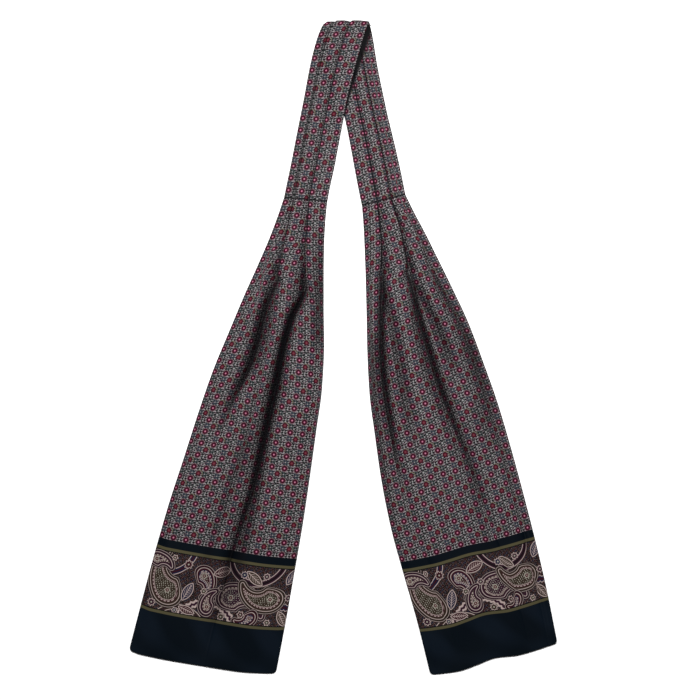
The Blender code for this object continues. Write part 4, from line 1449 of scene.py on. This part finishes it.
def add_sheet(name, rows, prints, painted_shades, materials, material_of_row, closed):
    """A smooth sheet through rows of points, in metres, with its print places as a UV map and its
    painted shade as an attribute.
    """
    count = len(rows[0])
    columns = count if closed else count - 1
    faces = []
    slots = []
    for row in range(len(rows) - 1):
        here = row * count
        there = here + count
        for step in range(columns):
            after = (step + 1) % count
            faces.append((here + step, there + step, there + after, here + after))
        slots += [material_of_row(prints[row + 1][0][1])] * columns
    piece = add_mesh(name, (rows.reshape(-1, 3) * MM).tolist(), faces, materials)
    mesh = piece.data
    corners = np.empty(len(mesh.loops), int)
    mesh.loops.foreach_get("vertex_index", corners)
    places = prints.reshape(-1, 2)[corners]
    mesh.uv_layers.new(name="Print").data.foreach_set("uv", places.ravel())
    mesh.polygons.foreach_set("material_index", slots)
    # The painted shade of each point, by which the material lays SHADE over the print
    painted_shade = mesh.attributes.new("PaintedShade", "FLOAT", "POINT")
    painted_shade.data.foreach_set("value", painted_shades.ravel())
    mesh.update()
    return piece


# Stitches of the tack lines: their rings have a place, a radius and how deep they sink
STITCH_PITCH = 3.4
STITCH_LENGTH = 2.3
STITCH_SIDES = 8
STITCH_RINGS = (
    (-0.50, 0.02, 0.35),
    (-0.42, 0.16, 0.10),
    (-0.20, 0.22, -0.05),
    (0.20, 0.22, -0.05),
    (0.42, 0.16, 0.10),
    (0.50, 0.02, 0.35),
)


def add_stitches(name, row, thread):
    """A joined row of short stitches on top of the pleats at the tack line."""
    start = row[0, :2]
    way = row[-1, :2] - start
    width = np.linalg.norm(way)
    way = way / width
    beside = np.array([-way[1], way[0]])
    along = (row[:, :2] - start) @ way
    points = []
    faces = []
    for centre in np.arange(STITCH_PITCH, width - STITCH_PITCH / 2, STITCH_PITCH):
        first = len(points)
        for offset, radius, sink in STITCH_RINGS:
            at = centre + offset * STITCH_LENGTH
            top = row[np.abs(along - at) < STITCH_PITCH / 3, 2].max() - sink
            for k in range(STITCH_SIDES):
                angle = 2 * math.pi * k / STITCH_SIDES
                plan = start + way * at + beside * radius * math.cos(angle)
                points.append((*(plan * MM), (top + radius * math.sin(angle)) * MM))
        for ring in range(len(STITCH_RINGS) - 1):
            for k in range(STITCH_SIDES):
                here = first + ring * STITCH_SIDES
                after = (k + 1) % STITCH_SIDES
                there = here + STITCH_SIDES
                faces.append((here + k, here + after, there + after, there + k))
    return add_mesh(name, points, faces, [thread])


# How far a row may lie off a border of the print and still count as on it
ROW_SLACK = 0.01

BLADES = {
    "left": {
        "outline": LEFT_OUTLINE,
        "bow": LEFT_BOW,
        "mirrored": False,
        "pleats": (LEFT_OUTER_PLEAT, LEFT_INNER_PLEAT),
        "creases": (LEFT_TUCK, LEFT_EDGE_TUCK, *LEFT_GATHERS),
        "dims": (LEFT_EDGE_DIM, LEFT_TUCK_DIM, LEFT_OUTER_DIM, LEFT_INNER_DIM, LEFT_HEM_DIM),
        # Strengths of the painted shade in the folds and of the painted dark gap under the knife
        # pleats, on the blade and on the band
        "painted_shade": 0.93,
        "gap": 0.75,
        "band_gap": 0.78,
        "band_painted_shade": 0.7,
        "edge_crown": LEFT_EDGE_CROWN,
        "band_outline": LEFT_BAND_OUTLINE,
        "band_steps": (0.25, 0.61),
        "turns": True,
    },
    "right": {
        "outline": RIGHT_OUTLINE,
        "bow": RIGHT_BOW,
        "mirrored": True,
        "pleats": (RIGHT_OUTER_PLEAT, RIGHT_MIDDLE_PLEAT, RIGHT_INNER_PLEAT),
        "creases": (RIGHT_TUCK, RIGHT_TROUGH, *RIGHT_GATHERS),
        "dims": (
            RIGHT_OUTER_DIM, RIGHT_EDGE_DIM, RIGHT_MIDDLE_DIM,
            RIGHT_INNER_DIM, RIGHT_TUCK_DIM, RIGHT_TROUGH_DIM,
        ),
        "painted_shade": 0.85,
        "gap": 0.98,
        "band_gap": 0.85,
        "band_painted_shade": 0.85,
        "edge_crown": RIGHT_EDGE_CROWN,
        "band_outline": RIGHT_BAND_OUTLINE,
        "band_steps": (0.17, 0.352, 0.658),
        "turns": False,
    },
}


def build_cravat():
    """The six printed sheets, each in place of its solid."""
    foulard_silk = silk("foulard_silk", foulard, 0.58)
    border_silk = silk("border_silk", border, 0.56)
    navy_silk = silk("navy_silk", plain_navy, 0.50)
    materials = (foulard_silk, border_silk, navy_silk)
    thread = add_material("sewing_thread", {"Base Color": THREAD, "Roughness": 0.6})

    def of_row(along):
        if along >= BORDER_TOP - ROW_SLACK:
            return 0
        return 1 if along >= HEM_BAND_TOP - ROW_SLACK else 2

    for side, blade in BLADES.items():
        back = add_sheet(side + "_blade_back_silk", *back_rows(blade), materials, of_row, False)
        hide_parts(side + "_blade_back")
        "printed_silk_" + side + "_back"
        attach(back, "root")
        rows = front_rows(blade)
        front = add_sheet(side + "_blade_front_silk", *rows, materials, of_row, False)
        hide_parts(side + "_blade_front")
        "printed_silk_" + side + "_front"
        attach(front, "root")
        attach(add_stitches(side + "_tack_stitches", rows[0][0], thread), "root")
        band = add_sheet(side + "_neckband_silk", *band_rows(blade), materials, of_row, True)
        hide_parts("neckband_" + side)
        "printed_silk_band_" + side
        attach(band, "root")


# The studio
FLOOR_SIZE = 6.0
FLOOR_Z = -0.0002
FLOOR = {"Base Color": (0.92, 0.92, 0.92, 1.0), "Roughness": 0.9, "Specular IOR Level": 0.1}
CAMERA_HEIGHT = 1.847
CAMERA_CENTRE = (0.0064, -0.0021)
CAMERA_LENS = 100.0
CAMERA_SENSOR = 36.0
KEY_PLACE = (0.0, 0.33, 1.12)
KEY_SIZE = 0.36
KEY_POWER = 25.0
WORLD_LIGHT = 0.06


def build_floor():
    """A plain pale table."""
    bpy.ops.mesh.primitive_plane_add(size=FLOOR_SIZE, location=(0, 0, FLOOR_Z))
    floor = bpy.context.object
    floor.name = "pale_table"
    floor.data.materials.append(add_material("pale_table", FLOOR))


def add_light(name, location, size, power):
    """A square soft light that faces the middle of the table."""
    data = bpy.data.lights.new(name, "AREA")
    data.size = size
    data.energy = power
    light = bpy.data.objects.new(name, data)
    light.location = location
    direction = -light.location
    light.rotation_euler = direction.to_track_quat("-Z", "Y").to_euler()
    bpy.context.scene.collection.objects.link(light)


def build_studio():
    """Soft light from above and a camera that looks straight down."""
    add_light("overhead", KEY_PLACE, KEY_SIZE, KEY_POWER)
    world = bpy.data.worlds.new("studio")
    world.use_nodes = True
    background = world.node_tree.nodes["Background"]
    background.inputs["Color"].default_value = (1, 1, 1, 1)
    background.inputs["Strength"].default_value = WORLD_LIGHT
    scene = bpy.context.scene
    scene.world = world
    scene.view_settings.view_transform = "Standard"
    data = bpy.data.cameras.new("overhead_camera")
    data.lens = CAMERA_LENS
    data.sensor_width = CAMERA_SENSOR
    camera = bpy.data.objects.new("overhead_camera", data)
    camera.location = (*CAMERA_CENTRE, CAMERA_HEIGHT)
    scene.collection.objects.link(camera)
    scene.camera = camera


build_cravat()
build_floor()
build_studio()
